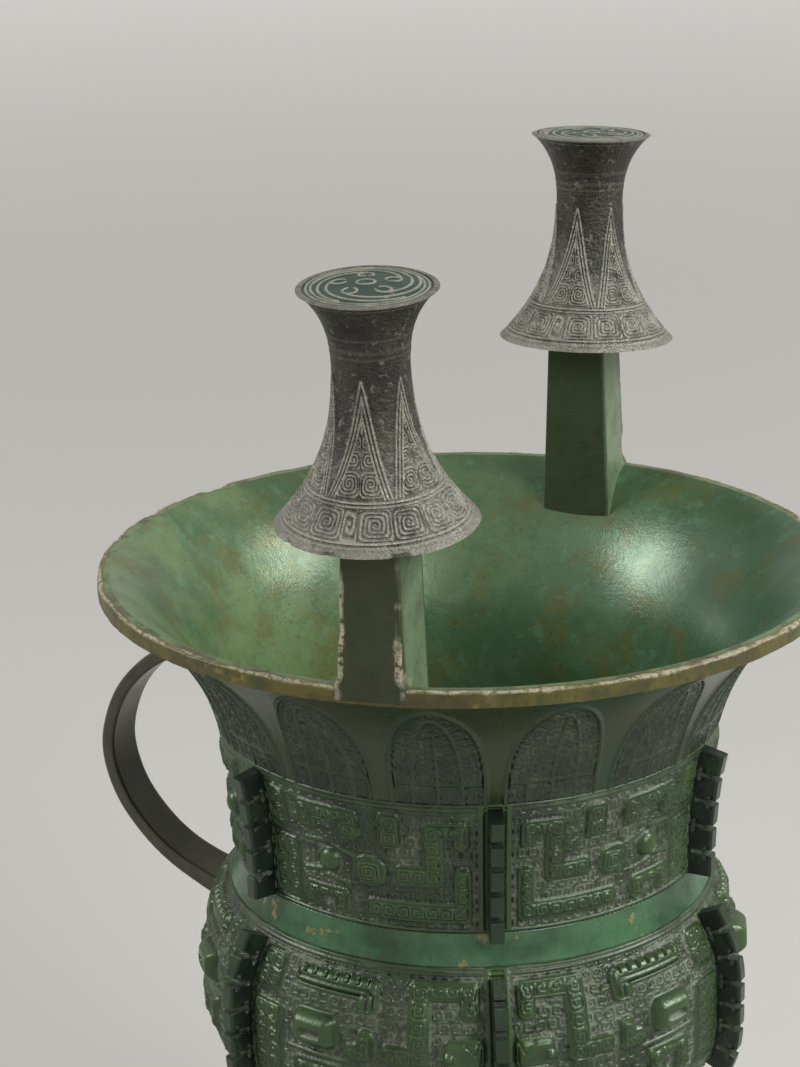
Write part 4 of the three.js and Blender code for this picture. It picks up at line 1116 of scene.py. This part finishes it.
def rounded_quad(corners, fillet, counts):
    """Closed line round four corners (rows x 4 x 2): straight edges shortened by the fillet, with each corner
    a quadratic arc through its two shortened ends. Also gives, for each point, the side that it lies on, and
    whether it lies on the straight part."""
    parts, sides, straight = [], [], []
    for k, count in enumerate(counts):
        before, here, after = corners[:, k - 1], corners[:, k], corners[:, (k + 1) % 4]
        start, end = here + fillet * unit(before - here), here + fillet * unit(after - here)
        parts += [(1 - t) ** 2 * start + 2 * t * (1 - t) * here + t * t * end for t in (0, 0.25, 0.5, 0.75)]
        stop = after + fillet * unit(here - after)
        parts += [between((end, stop), t) for t in np.linspace(0, 1, count + 1)[:-1]]
        sides += [k] * (4 + count)
        straight += [False] * 4 + [True] * count
    return np.stack(parts, 1), np.array(sides), np.array(straight)


class JIA_OT_posts(bpy.types.Operator):
    """Two posts that stand on the lip"""

    bl_idname = "jia.posts"
    bl_label = "Posts"

    def execute(self, context):
        """A trapezoid with rounded corners is carried from inside the wall up to the tilted underside of the
        cap, wider by a small fillet where it meets the rim. Uneven lines eat into the two outer edges."""
        r_in, z_in = (line[:60][::-1] for line in inner_line(-WALL, 60, 4, 4))
        total = POST_HEIGHT + LIP_HEIGHT
        rows = np.linspace(0, 1, 160)
        climb = rows[:, None] * total
        t = np.clip((rows * total - LIP_HEIGHT) / POST_HEIGHT, 0, 1)
        outer, inner = RIM_RADIUS - POST_BATTER * t, np.full_like(t, RIM_RADIUS - POST_SECTION_DEPTH)
        outer_half, inner_half = between(POST_OUTER_WIDTH, t) / 2, between(POST_INNER_WIDTH, t) / 2
        corners = np.stack([np.stack(pair, 1) for pair in (
            (-outer_half, outer), (outer_half, outer), (inner_half, inner), (-inner_half, inner))], 1)
        line, side, _ = rounded_quad(corners, 0.9, (34, 24, 24, 24))
        on_flank = np.isin(side, (1, 3))
        x, radius = line[..., 0], line[..., 1]
        low = np.minimum(RIM_HEIGHT - LIP_HEIGHT, np.interp(radius, r_in, z_in) - 2)
        lean = math.tan(math.radians(CAP_LEAN))
        high = RIM_HEIGHT + POST_HEIGHT - lean * (radius - RIM_RADIUS + CAP_STANDOFF) - 0.3
        height = low + (high - low) * rows[:, None]
        half = np.interp(radius, [inner[0], RIM_RADIUS], [POST_INNER_WIDTH[1] / 2, POST_OUTER_WIDTH[1] / 2])
        near_edge = ramp(radius, RIM_RADIUS - 6, RIM_RADIUS - 2) * ramp(np.abs(x) / half, 0.82, 0.96)
        fillet = 1.2 * (1 - ramp(height, RIM_HEIGHT, RIM_HEIGHT + 5)) ** 2 * ramp(np.abs(x) / half, 0.6, 1)
        fillet = fillet * ramp(radius, RIM_RADIUS - 12, RIM_RADIUS - 5)
        from_edge = np.where(on_flank, RIM_RADIUS - radius, half - np.abs(x))
        outside = ramp(radius, RIM_RADIUS - 9, RIM_RADIUS - 6)
        for label, azimuth in POST_AZIMUTHS.items():

            def edge_line(seed, *sizes):
                """Uneven lines up the post, one for each of the two edges."""
                left, right = (uneven(climb, 80, seed + round(azimuth) + k, sizes) for k in (0, 1))
                return np.where(x > 0, right, left)

            bite = near_edge * ramp(edge_line(20, 13, 5.5, 2.4), 0.1, 1.4)
            bite = bite * ramp(climb, LIP_HEIGHT, LIP_HEIGHT + 3)
            spread = 0.1 + 0.9 * edge_line(22, 19, 7, 3)
            crust = (1 - ramp(from_edge, spread, spread + 0.8)) * outside + 0.9 * bite
            bitten = x + np.sign(x) * (fillet - 0.1 * near_edge - 0.8 * bite)
            rings = np.stack([bitten, 0.5 * bite - radius, height], -1)
            core = rings[:1] * [1, 0.03, 0] + [0, -0.97 * POST_ROOT_RADIUS, RIM_HEIGHT - LIP_HEIGHT - 0.05]
            # Partly painted light: the flanks take the lighter green
            marks = {"flank": on_flank * (1 - near_edge), "wear": (side == 2) + 0 * near_edge,
                     "crust": np.clip(crust, 0, 1)}
            marks = {mark: np.concatenate([values[:1], values]) for mark, values in marks.items()}
            skin(f"post_{label}_cast", placed(np.concatenate([core, rings]), azimuth),
                 finish("olive_post_patina"), [f"post_{label}"], marks=marks, crease=45)
        return {"FINISHED"}


def cap_radius(height):
    """Cap radius over its base: two power curves that meet at the waist."""
    low = np.clip((CAP_WAIST_HEIGHT - height) / CAP_WAIST_HEIGHT, 0, 1)
    high = np.clip((height - CAP_WAIST_HEIGHT) / (CAP_HEIGHT - CAP_WAIST_HEIGHT), 0, 1)
    return (CAP_WAIST_RADIUS + (CAP_BASE_RADIUS - CAP_WAIST_RADIUS) * low ** 2.3
            + (CAP_TOP_RADIUS - CAP_WAIST_RADIUS) * high ** 2.9)


def on_post(points, azimuth):
    """Cap points (axis +Z, base at 0) leaned outwards, set on the post and turned to its azimuth."""
    lean = math.radians(CAP_LEAN)
    x, y, z = points[..., 0], points[..., 1], points[..., 2]
    leaned = np.stack([x, y * math.cos(lean) - z * math.sin(lean) - RIM_RADIUS + CAP_STANDOFF,
                       y * math.sin(lean) + z * math.cos(lean) + RIM_HEIGHT + POST_HEIGHT], -1)
    return placed(leaned, azimuth)


def cap_relief(angle, height, pitch):
    """Threads on the bell: paired ring lines, a belt of squared spirals with a narrow one at each mould seam,
    six tall triangles with three outlines and paired spirals, and faint turned rings above."""
    per_degree = np.radians(1) * cap_radius(height)
    threads = highest(*(band(height, level, 0.2, 0.32) for level in CAP_RINGS),
                      *(0.2 * band(height, level, 0.25, 0.5) for level in CAP_TURNINGS))
    seam = (angle - CAP_SEAM) % 180
    wide = seam < 180 - SEAM_SPIRAL
    u = np.where(wide, 2 * (seam / BELT_SPIRAL % 1) - 1, 2 * (seam - 180) / SEAM_SPIRAL + 1)
    v = (height - BELT_MIDDLE) / BELT_HALF
    belt = np.where(wide, spiral(u, v, BELT_HALF / pitch), spiral(u, v * 0.9, 2.0))
    threads = np.maximum(threads, belt * (np.abs(v) < 1) * (np.abs(u) < 0.97))
    t = np.clip((height - TRIANGLE_FOOT) / (TRIANGLE_TIP - TRIANGLE_FOOT), 0, 1)
    offset = (angle - TRIANGLE_TURN + TRIANGLE_PITCH / 2) % TRIANGLE_PITCH - TRIANGLE_PITCH / 2
    inside = (TRIANGLE_HALF * (1 - t) ** 0.82 - np.abs(offset)) * per_degree
    zone = (height > TRIANGLE_FOOT - 0.4) & (height < TRIANGLE_TIP + 0.5)
    for line in TRIANGLE_LINES:
        threads = np.maximum(threads, band(inside, line, 0.24, 0.34) * zone * (t < 1 - line * 0.06))
    for low, high, reach in TRIANGLE_SPIRALS:
        u = 2 * np.abs(offset) / reach - 1
        v = 2 * (height - low) / (high - low) - 1
        within = (np.abs(u) < 0.97) & (np.abs(v) < 1) & (inside > TRIANGLE_LINES[-1] - 0.1)
        threads = np.maximum(threads, spiral(u, v, (high - low) / 2 / pitch, 1.4) * within)
    stem = band(offset * per_degree, 0, 0.25, 0.3) * (height > TRIANGLE_STEM[0]) * (height < TRIANGLE_STEM[1])
    return np.maximum(threads, stem)


class JIA_OT_caps(bpy.types.Operator):
    """Bell-shaped caps on the posts"""

    bl_idname = "jia.caps"
    bl_label = "Caps"

    def execute(self, context):
        """The bell's outer and inner profiles are turned about its axis in two halves and leaned with the
        post, the outer one raised by the threads. Its rows stand closer together over the belt and the feet
        of the triangles than above them. A disc with a whorl closes the top."""
        size = context.scene.jia_ornament
        grid, lines = size.cap_grid / MM, 0.9 * size.ground_relief / MM
        heights = np.concatenate([np.linspace(0, 30, int(41 / grid)), np.linspace(30.4, 60, int(27 / grid)),
                                  np.linspace(60.7, CAP_HEIGHT - CAP_EDGE, 34)])
        disc_edge = CAP_TOP_RADIUS - CAP_RING
        top_r = [CAP_TOP_RADIUS - 0.4, CAP_TOP_RADIUS - CAP_EDGE, disc_edge, disc_edge, 0]
        top_z = CAP_HEIGHT - np.array([0.45, 0, 0, 2.2, 2.2])
        hollow = np.linspace(CAP_CORE_HEIGHT, 0, 12)
        low_r = np.concatenate([[0], cap_radius(hollow) - CAP_WALL])
        all_z = np.concatenate([[CAP_CORE_HEIGHT], hollow, heights, top_z])[None]
        columns = int(np.pi * CAP_COLUMN_RADIUS / grid)
        girth = math.radians(360) * CAP_BASE_GIRTH_RADIUS
        height = heights[None]
        for part, start in (("right", CAP_SEAM), ("left", CAP_SEAM + 180)):
            angles = np.linspace(start, start + 180, columns)
            threads = cap_relief(angles[:, None], height, size.cap_pitch / MM)
            around = girth / 360 * angles[:, None]
            rough = uneven(around + 7 * np.sin(height / 5), girth, 31, (8, 3.5))
            rough = rough * uneven(height, 300, 32, (6, 3))
            chips = ramp(uneven(around, girth, 33, (9, 3.5)), 0.75, 1.2) * (1 - ramp(height, 0.3, 1.6))
            radius = cap_radius(height) + lines * (threads - 1) * ramp(height, 1.2, 2.2) - 0.1 - 0.1 * rough
            all_r = np.concatenate([np.tile(low_r, (columns, 1)), radius - 0.9 * chips,
                                    np.tile(top_r, (columns, 1))], 1)
            # Pale threads and bottom edge: rubbed bronze, and partly painted highlight
            bare = 0.55 * (1 - ramp(height, 1.6, 2.4)) * (1 - chips)
            wear = np.pad(threads * ramp(height, 1, 2) + bare, ((0, 0), (len(low_r), 0)))
            wear = np.pad(wear, ((0, 0), (0, len(top_r))), constant_values=0.6)
            for label, azimuth in POST_AZIMUTHS.items():
                skin(f"cap_{label}_{part}", on_post(turned(angles, all_r, all_z), azimuth),
                     finish("grey_cap_patina"), [f"cap_{label}"],
                     # The lower part takes the lighter grey: bare metal, and partly painted reflection
                     marks={"wear": wear, "flank": 1 - ramp(all_z, 20, 46)}, crease=55)
        disc, wear = self.whorl(disc_edge - 0.05)
        for label, azimuth in POST_AZIMUTHS.items():
            skin(f"cap_{label}_disc", on_post(disc, azimuth), finish("green_disc_patina"),
                 [f"cap_{label}"], closed=True, poles=True, marks={"wear": wear}, crease=55)
        return {"FINISHED"}

    def whorl(self, outer):
        """Heights over a low dome: a small ring off its middle, looped heads round it whose tails sweep out,
        and two ring lines near the edge. Angles and distances are measured from a centre that moves from the
        ring's to the disc's own with the distance."""
        azimuths = full_turn(360)
        reach = np.linspace(0, outer, 74)
        lines = highest(*(band(reach, ring, 0.25, 0.35) for ring in DISC_LINES))
        shift = 1 - reach / (outer + 0.05)
        x = reach * np.sin(np.radians(azimuths))[:, None] - WHORL_CENTRE[0] * shift
        y = -reach * np.cos(np.radians(azimuths))[:, None] - WHORL_CENTRE[1] * shift
        rho, angle = np.hypot(x, y), np.degrees(np.arctan2(x, -y))
        lines = np.maximum(lines, band(rho, WHORL_RING, 0.3, 0.4))
        for k in range(WHORL_HEADS):
            head = WHORL_TURN + 360 / WHORL_HEADS * k
            sweep = (angle - head) % 360
            head_x, head_y = math.sin(math.radians(head)), -math.cos(math.radians(head))
            loop = band(np.hypot(x - WHORL_REACH * head_x, y - WHORL_REACH * head_y), WHORL_LOOP, 0.3, 0.4)
            lines = np.maximum(lines, loop * (1 - (rho < WHORL_REACH) * (sweep > 346)))
            tail = between(WHORL_TAIL, np.clip(sweep / WHORL_SWEEP, 0, 1) ** 0.8)
            lines = np.maximum(lines, band(rho, tail, 0.3, 0.4) * (sweep < WHORL_SWEEP))
        height = CAP_HEIGHT - DISC_SINK + DISC_RISE * (1 - (reach / (outer + 0.05)) ** 2) + 0.4 * lines
        radius = np.concatenate([reach, [outer, 0]])
        height = np.pad(height, ((0, 0), (0, 2)), constant_values=CAP_HEIGHT - 1.9)
        return turned(azimuths, radius, height), np.pad(lines, ((0, 0), (0, 2)))


class JIA_OT_handle(bpy.types.Operator):
    """Strap handle"""

    bl_idname = "jia.handle"
    bl_label = "Handle"

    def execute(self, context):
        """A rounded strap section with a slightly sunk middle is swept along a smooth line through the
        handle's outline, wider and thicker at both roots. The line is a cubic between each two points, with
        slopes from their neighbours."""
        ends = [float(body_radius(depth)) - HANDLE_SINK for depth in HANDLE_DEPTHS]
        outline = [(ends[0], 0), *HANDLE_OUTLINE, (ends[1], 1)]
        knots = np.array([(radius, RIM_HEIGHT - between(HANDLE_DEPTHS, share)) for radius, share in outline])
        reached = np.concatenate([[2 * knots[0] - knots[1]], knots, [2 * knots[-1] - knots[-2]]])
        t = np.linspace(0, 1, 60)[:, None]
        curve = [0.5 * (2 * p1 + (p2 - p0) * t + (2 * p0 - 5 * p1 + 4 * p2 - p3) * t ** 2
                        + (3 * p1 - p0 - 3 * p2 + p3) * t ** 3)[:-1]
                 for p0, p1, p2, p3 in zip(reached, reached[1:], reached[2:], reached[3:])]
        curve = np.concatenate([*curve, knots[-1:]])
        run = np.concatenate([[0], np.cumsum(np.linalg.norm(np.diff(curve, axis=0), axis=1))])
        share = np.linspace(0, 1, 130)
        path = np.stack([np.interp(share * run[-1], run, curve[:, k]) for k in (0, 1)], 1)
        along = unit(np.gradient(path, axis=0))
        root = np.abs(2 * share - 1) ** 4
        half, thick = between(HANDLE_WIDTH, root) / 2, between(HANDLE_THICKNESS, root)
        corners = np.stack([np.stack(pair, 1) for pair in (
            (half, 0 * half), (-half, 0 * half), (-half, thick), (half, thick))], 1)
        line, side, straight = rounded_quad(corners, 1.5, (30, 4, 16, 4))
        outer_face = (side == 0) & straight
        across = line[..., 0]
        rim = half[:, None] - np.abs(across)
        deep = line[..., 1] + outer_face * 0.5 * ramp(rim, 2.0, 3.2)
        radius = path[:, :1] + along[:, 1:] * deep
        height = path[:, 1:] - along[:, :1] * deep
        wear = (1 - ramp(rim, 0.2, 2.0)) * 0.9
        recess = outer_face * band(rim, 2.8, 0.5, 0.5)
        skin("strap_handle", placed(np.stack([across, -radius, height], -1), HANDLE_AZIMUTH),
             finish("handle_patina"), ["handle"],
             marks={"wear": wear, "recess": recess}, crease=50)
        return {"FINISHED"}


class JIA_OT_legs(bpy.types.Operator):
    """Three splayed legs"""

    bl_idname = "jia.legs"
    bl_label = "Legs"

    def execute(self, context):
        """A wedge-shaped section, channelled at the back, is carried from the sole up to the rounded base. A
        long hanging leaf with squared spirals is raised on the outer face and a line runs down each flank."""
        size = context.scene.jia_ornament
        lift = size.leaf_relief / MM
        rows = np.linspace(0, 1, 220)[:, None]
        level = rows * LEG_MEETING
        t = np.clip(1 - level / LEG_TOP_HEIGHT, 0, 1)
        outer = LEG_TOP_RADIUS + LEG_SPLAY * t ** LEG_SPLAY_POWER
        wide, narrow = between(LEG_OUTER_WIDTH, t) / 2, between(LEG_INNER_WIDTH, t) / 2
        deep = between(LEG_SECTION_DEPTH, t)
        open_from, open_to = (ramp(level, end - 0.5, end + 0.5) for end in LEG_CHANNEL)
        channel = open_from * (1 - open_to)
        slope = LEG_WALL * np.hypot(1, (wide - narrow) / deep)
        mouth = np.maximum(narrow - slope, 0.8)
        floor_deep = deep + (LEG_WALL - deep) * channel
        floor_half = wide + (narrow - wide) * floor_deep / deep - slope
        floor_half = mouth + (floor_half - mouth) * channel
        corners = ((-wide, 0 * wide), (wide, 0 * wide), (narrow, deep), (mouth, deep),
                   (floor_half, floor_deep), (-floor_half, floor_deep), (-mouth, deep), (-narrow, deep))
        counts = (48, 18, 2, 6, 6, 6, 2, 18)
        shares = [np.linspace(0, 1, count + 1)[:-1] for count in counts]
        across, inward = (np.concatenate([between((a[k], b[k]), share) for a, b, share in zip(
            corners, corners[1:] + corners[:1], shares)], 1) for k in (0, 1))
        face = np.repeat(range(len(counts)), counts)
        leaf_half = np.clip((level - LEG_LEAF[0]) / (LEG_LEAF[1] - LEG_LEAF[0]), 0, 1) ** 0.75
        inside = LEG_LEAF_SHARE * wide * leaf_half - np.abs(across)
        lines = highest(band(inside, 0.6, 0.4, 0.4), band(inside, 2.2, 0.3, 0.4),
                        band(across, 0, 0.35, 0.4) * (inside > 2.4))
        fill = spiral_ground(across, level + 0 * across, LEG_LEAF_CELL, size.thread_pitch / MM)
        fill = fill * (inside > 3.2) * (np.abs(across) > 0.9)
        outer_face = (face == 0) & (np.abs(across) < wide - 0.4)
        relief = outer_face * lift * (lines + 0.8 * fill) * (inside > 0) * ramp(level, 20, 26)
        groove = np.isin(face, (1, 7)) * band(inward / deep, 0.5, 0.16, 0.08) * ramp(level, 14, 20)
        across = across - np.sign(across) * 0.5 * groove
        radius = outer - inward + relief
        reach = np.clip(radius, 0, BELLY_RADIUS * 0.995) / BELLY_RADIUS
        base = RIM_HEIGHT - BELLY_DEPTH - BASE_HEIGHT * (1 - reach ** BASE_POWER) ** (1 / BASE_POWER)
        rings = np.stack([across, -radius, rows * (base + 1.8)], -1)
        marks = cavity_marks(relief, 3, 0.16)
        marks["recess"] = np.clip(marks["recess"] * outer_face + 0.6 * groove, 0, 1)
        marks["cover"] = 1 - outer_face * (inside > 3.2) * 0.8
        for label, azimuth in LEG_AZIMUTHS.items():
            skin(f"leg_{label}_cast", placed(rings, azimuth), finish("cast_relief_patina"),
                 [f"leg_{label}"], marks=marks, crease=50)
        return {"FINISHED"}


class JIA_OT_cores(bpy.types.Operator):
    """Clay cores in the legs and caps, and the spacers in the floor"""

    bl_idname = "jia.cores"
    bl_label = "Cores and spacers"

    def execute(self, context):
        """These keep the shapes of the solids and get their finish."""
        for name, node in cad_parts.items():
            if name.endswith("_core") or name.startswith("floor_spacer"):
                node.data.materials.clear()
                kind = "fired_casting_clay" if name.endswith("_core") else "olive_lip_patina"
                node.data.materials.append(finish(kind))
        return {"FINISHED"}


class JIA_OT_studio(bpy.types.Operator):
    """Pale floor, soft lights and the camera"""

    bl_idname = "jia.studio"
    bl_label = "Studio"

    def execute(self, context):
        """Each lamp is a soft square that looks from its place at the vessel's middle."""
        scene = context.scene
        studio = scene.jia_studio
        self.put_floor(studio)
        for name, place in LAMPS.items():
            lamp = bpy.data.lights.new(f"{name}_light", "AREA")
            lamp.shape, lamp.size = "SQUARE", LAMP_SIDE
            lamp.energy, lamp.spread = getattr(studio, f"{name}_power"), math.radians(LAMP_SPREAD)
            light = bpy.data.objects.new(lamp.name, lamp)
            scene.collection.objects.link(light)
            light.location = Vector((AXIS_OFFSET * MM, 0, VESSEL_MIDDLE)) + Vector(place)
            light.rotation_mode = "QUATERNION"
            light.rotation_quaternion = (-Vector(place)).to_track_quat("-Z", "Y")
        self.put_world(scene, studio)
        self.put_camera(scene)
        scene.view_settings.view_transform = "Standard"
        return {"FINISHED"}

    def put_floor(self, studio):
        """A wide floor of painted board, matt. Light is added to it for the camera alone, more with distance
        from the vessel, up to what makes the far floor as bright as the backdrop, so that they meet without
        an edge and the shadow stays."""
        material = empty_material("matt_painted_board")
        tree = material.node_tree
        place = add_node(tree, "ShaderNodeTexCoord", output="Object")
        away = add_node(tree, "ShaderNodeVectorMath", {0: place}, "Value", operation="LENGTH")
        far = add_node(tree, "ShaderNodeMapRange", {
            "Value": away, "From Min": FLOOR_FADE[0], "From Max": FLOOR_FADE[1], "To Max": 1.0},
            interpolation_type="SMOOTHSTEP")
        seen = add_node(tree, "ShaderNodeLightPath", output="Is Camera Ray")
        lift = add_node(tree, "ShaderNodeMath", {0: seen, 1: far}, operation="MULTIPLY")
        seen_world = studio.ambient + studio.floor_lift
        missing = [seen_world * sky - studio.ambient * sky * board
                   for sky, board in zip(studio.backdrop, studio.floor)]
        glow = add_node(tree, "ShaderNodeEmission", {"Color": (*missing, 1), "Strength": lift})
        paint = add_node(tree, "ShaderNodeBsdfPrincipled", {
            "Base Color": (*studio.floor, 1), "Roughness": 0.9})
        both = add_node(tree, "ShaderNodeAddShader", {0: paint, 1: glow})
        add_node(tree, "ShaderNodeOutputMaterial", {"Surface": both})
        mesh = bpy.data.meshes.new("floor")
        corners = [(x * FLOOR_HALF, y * FLOOR_HALF, 0) for x, y in ((-1, -1), (1, -1), (1, 1), (-1, 1))]
        mesh.from_pydata(corners, [], [(0, 1, 2, 3)])
        mesh.materials.append(material)
        floor = bpy.data.objects.new("floor", mesh)
        bpy.context.scene.collection.objects.link(floor)

    def put_world(self, scene, studio):
        """An even backdrop, brighter to the camera and in reflections than in the light that it gives."""
        world = bpy.data.worlds.new("studio")
        scene.world = world
        world.use_nodes = True
        tree = world.node_tree
        tree.nodes.clear()
        path = add_node(tree, "ShaderNodeLightPath").node
        seen = path.outputs["Is Camera Ray"]
        for ray in ("Is Glossy Ray", "Is Transmission Ray"):
            seen = add_node(tree, "ShaderNodeMath", {0: seen, 1: path.outputs[ray]}, operation="MAXIMUM")
        strength = add_node(tree, "ShaderNodeMapRange", {
            "Value": seen, "To Min": studio.ambient, "To Max": studio.ambient + studio.floor_lift})
        light = add_node(tree, "ShaderNodeBackground", {"Color": (*studio.backdrop, 1), "Strength": strength})
        add_node(tree, "ShaderNodeOutputWorld", {"Surface": light})

    def put_camera(self, scene):
        """The camera stands at its distance, azimuth and elevation from the middle of the mouth, looks at it,
        and is then turned by small yaw, pitch and roll angles. Its focal length and the picture's height are
        in pixels."""
        distance, elevation, azimuth = 1.25747, math.radians(18.898), math.radians(24.5)
        yaw, pitch, roll = (math.radians(d) for d in (1.182, 0.469, 0.717))
        frame_height, focal = 1067, 3195.5
        offset = Vector((math.cos(elevation) * math.sin(azimuth), -math.cos(elevation) * math.cos(azimuth),
                         math.sin(elevation))) * distance
        ahead = -offset.normalized()
        right = Vector((math.cos(azimuth), math.sin(azimuth), 0))
        axes = [right, right.cross(ahead), ahead]
        for k, angle in ((1, yaw), (0, pitch), (2, roll)):
            turn = Matrix.Rotation(angle, 3, axes[k])
            axes = [turn @ axis for axis in axes]
        right, up, ahead = axes
        data = bpy.data.cameras.new("camera")
        data.sensor_fit, data.sensor_width = "AUTO", 36
        data.lens = focal * data.sensor_width / frame_height
        camera = bpy.data.objects.new("camera", data)
        scene.collection.objects.link(camera)
        camera.matrix_world = Matrix.Translation(offset + Vector((AXIS_OFFSET, 0, RIM_HEIGHT)) * MM) @ Matrix(
            (right, up, -ahead)).transposed().to_4x4()
        scene.camera = camera


class JIA_PT_panel(bpy.types.Panel):
    """Lists the pieces and their settings"""

    bl_idname = "JIA_PT_panel"
    bl_label = "Bronze jia"
    bl_space_type = "VIEW_3D"
    bl_region_type = "UI"
    bl_category = "Jia"

    def draw(self, context):
        for operator in OPERATORS:
            self.layout.operator(operator.bl_idname)
        for group in (context.scene.jia_ornament, context.scene.jia_colours, context.scene.jia_studio):
            box = self.layout.box()
            for name in group.__annotations__:
                box.prop(group, name)


OPERATORS = (JIA_OT_bowl, JIA_OT_leaves, JIA_OT_neck_masks, JIA_OT_belly_masks, JIA_OT_plain_bands,
             JIA_OT_flanges, JIA_OT_posts, JIA_OT_caps, JIA_OT_handle, JIA_OT_legs, JIA_OT_cores,
             JIA_OT_studio)
GROUPS = {"jia_ornament": JiaOrnament, "jia_colours": JiaColours, "jia_studio": JiaStudio}


def register():
    for group in (*GROUPS.values(), *OPERATORS, JIA_PT_panel):
        bpy.utils.register_class(group)
    for name, group in GROUPS.items():
        setattr(bpy.types.Scene, name, PointerProperty(type=group))


def unregister():
    for name in GROUPS:
        delattr(bpy.types.Scene, name)
    for group in (JIA_PT_panel, *reversed(OPERATORS), *reversed(GROUPS.values())):
        bpy.utils.unregister_class(group)


def main():
    register()
    for operator in OPERATORS:
        area, name = operator.bl_idname.split(".")
        getattr(getattr(bpy.ops, area), name)()


if __name__ == "__main__":
    main()
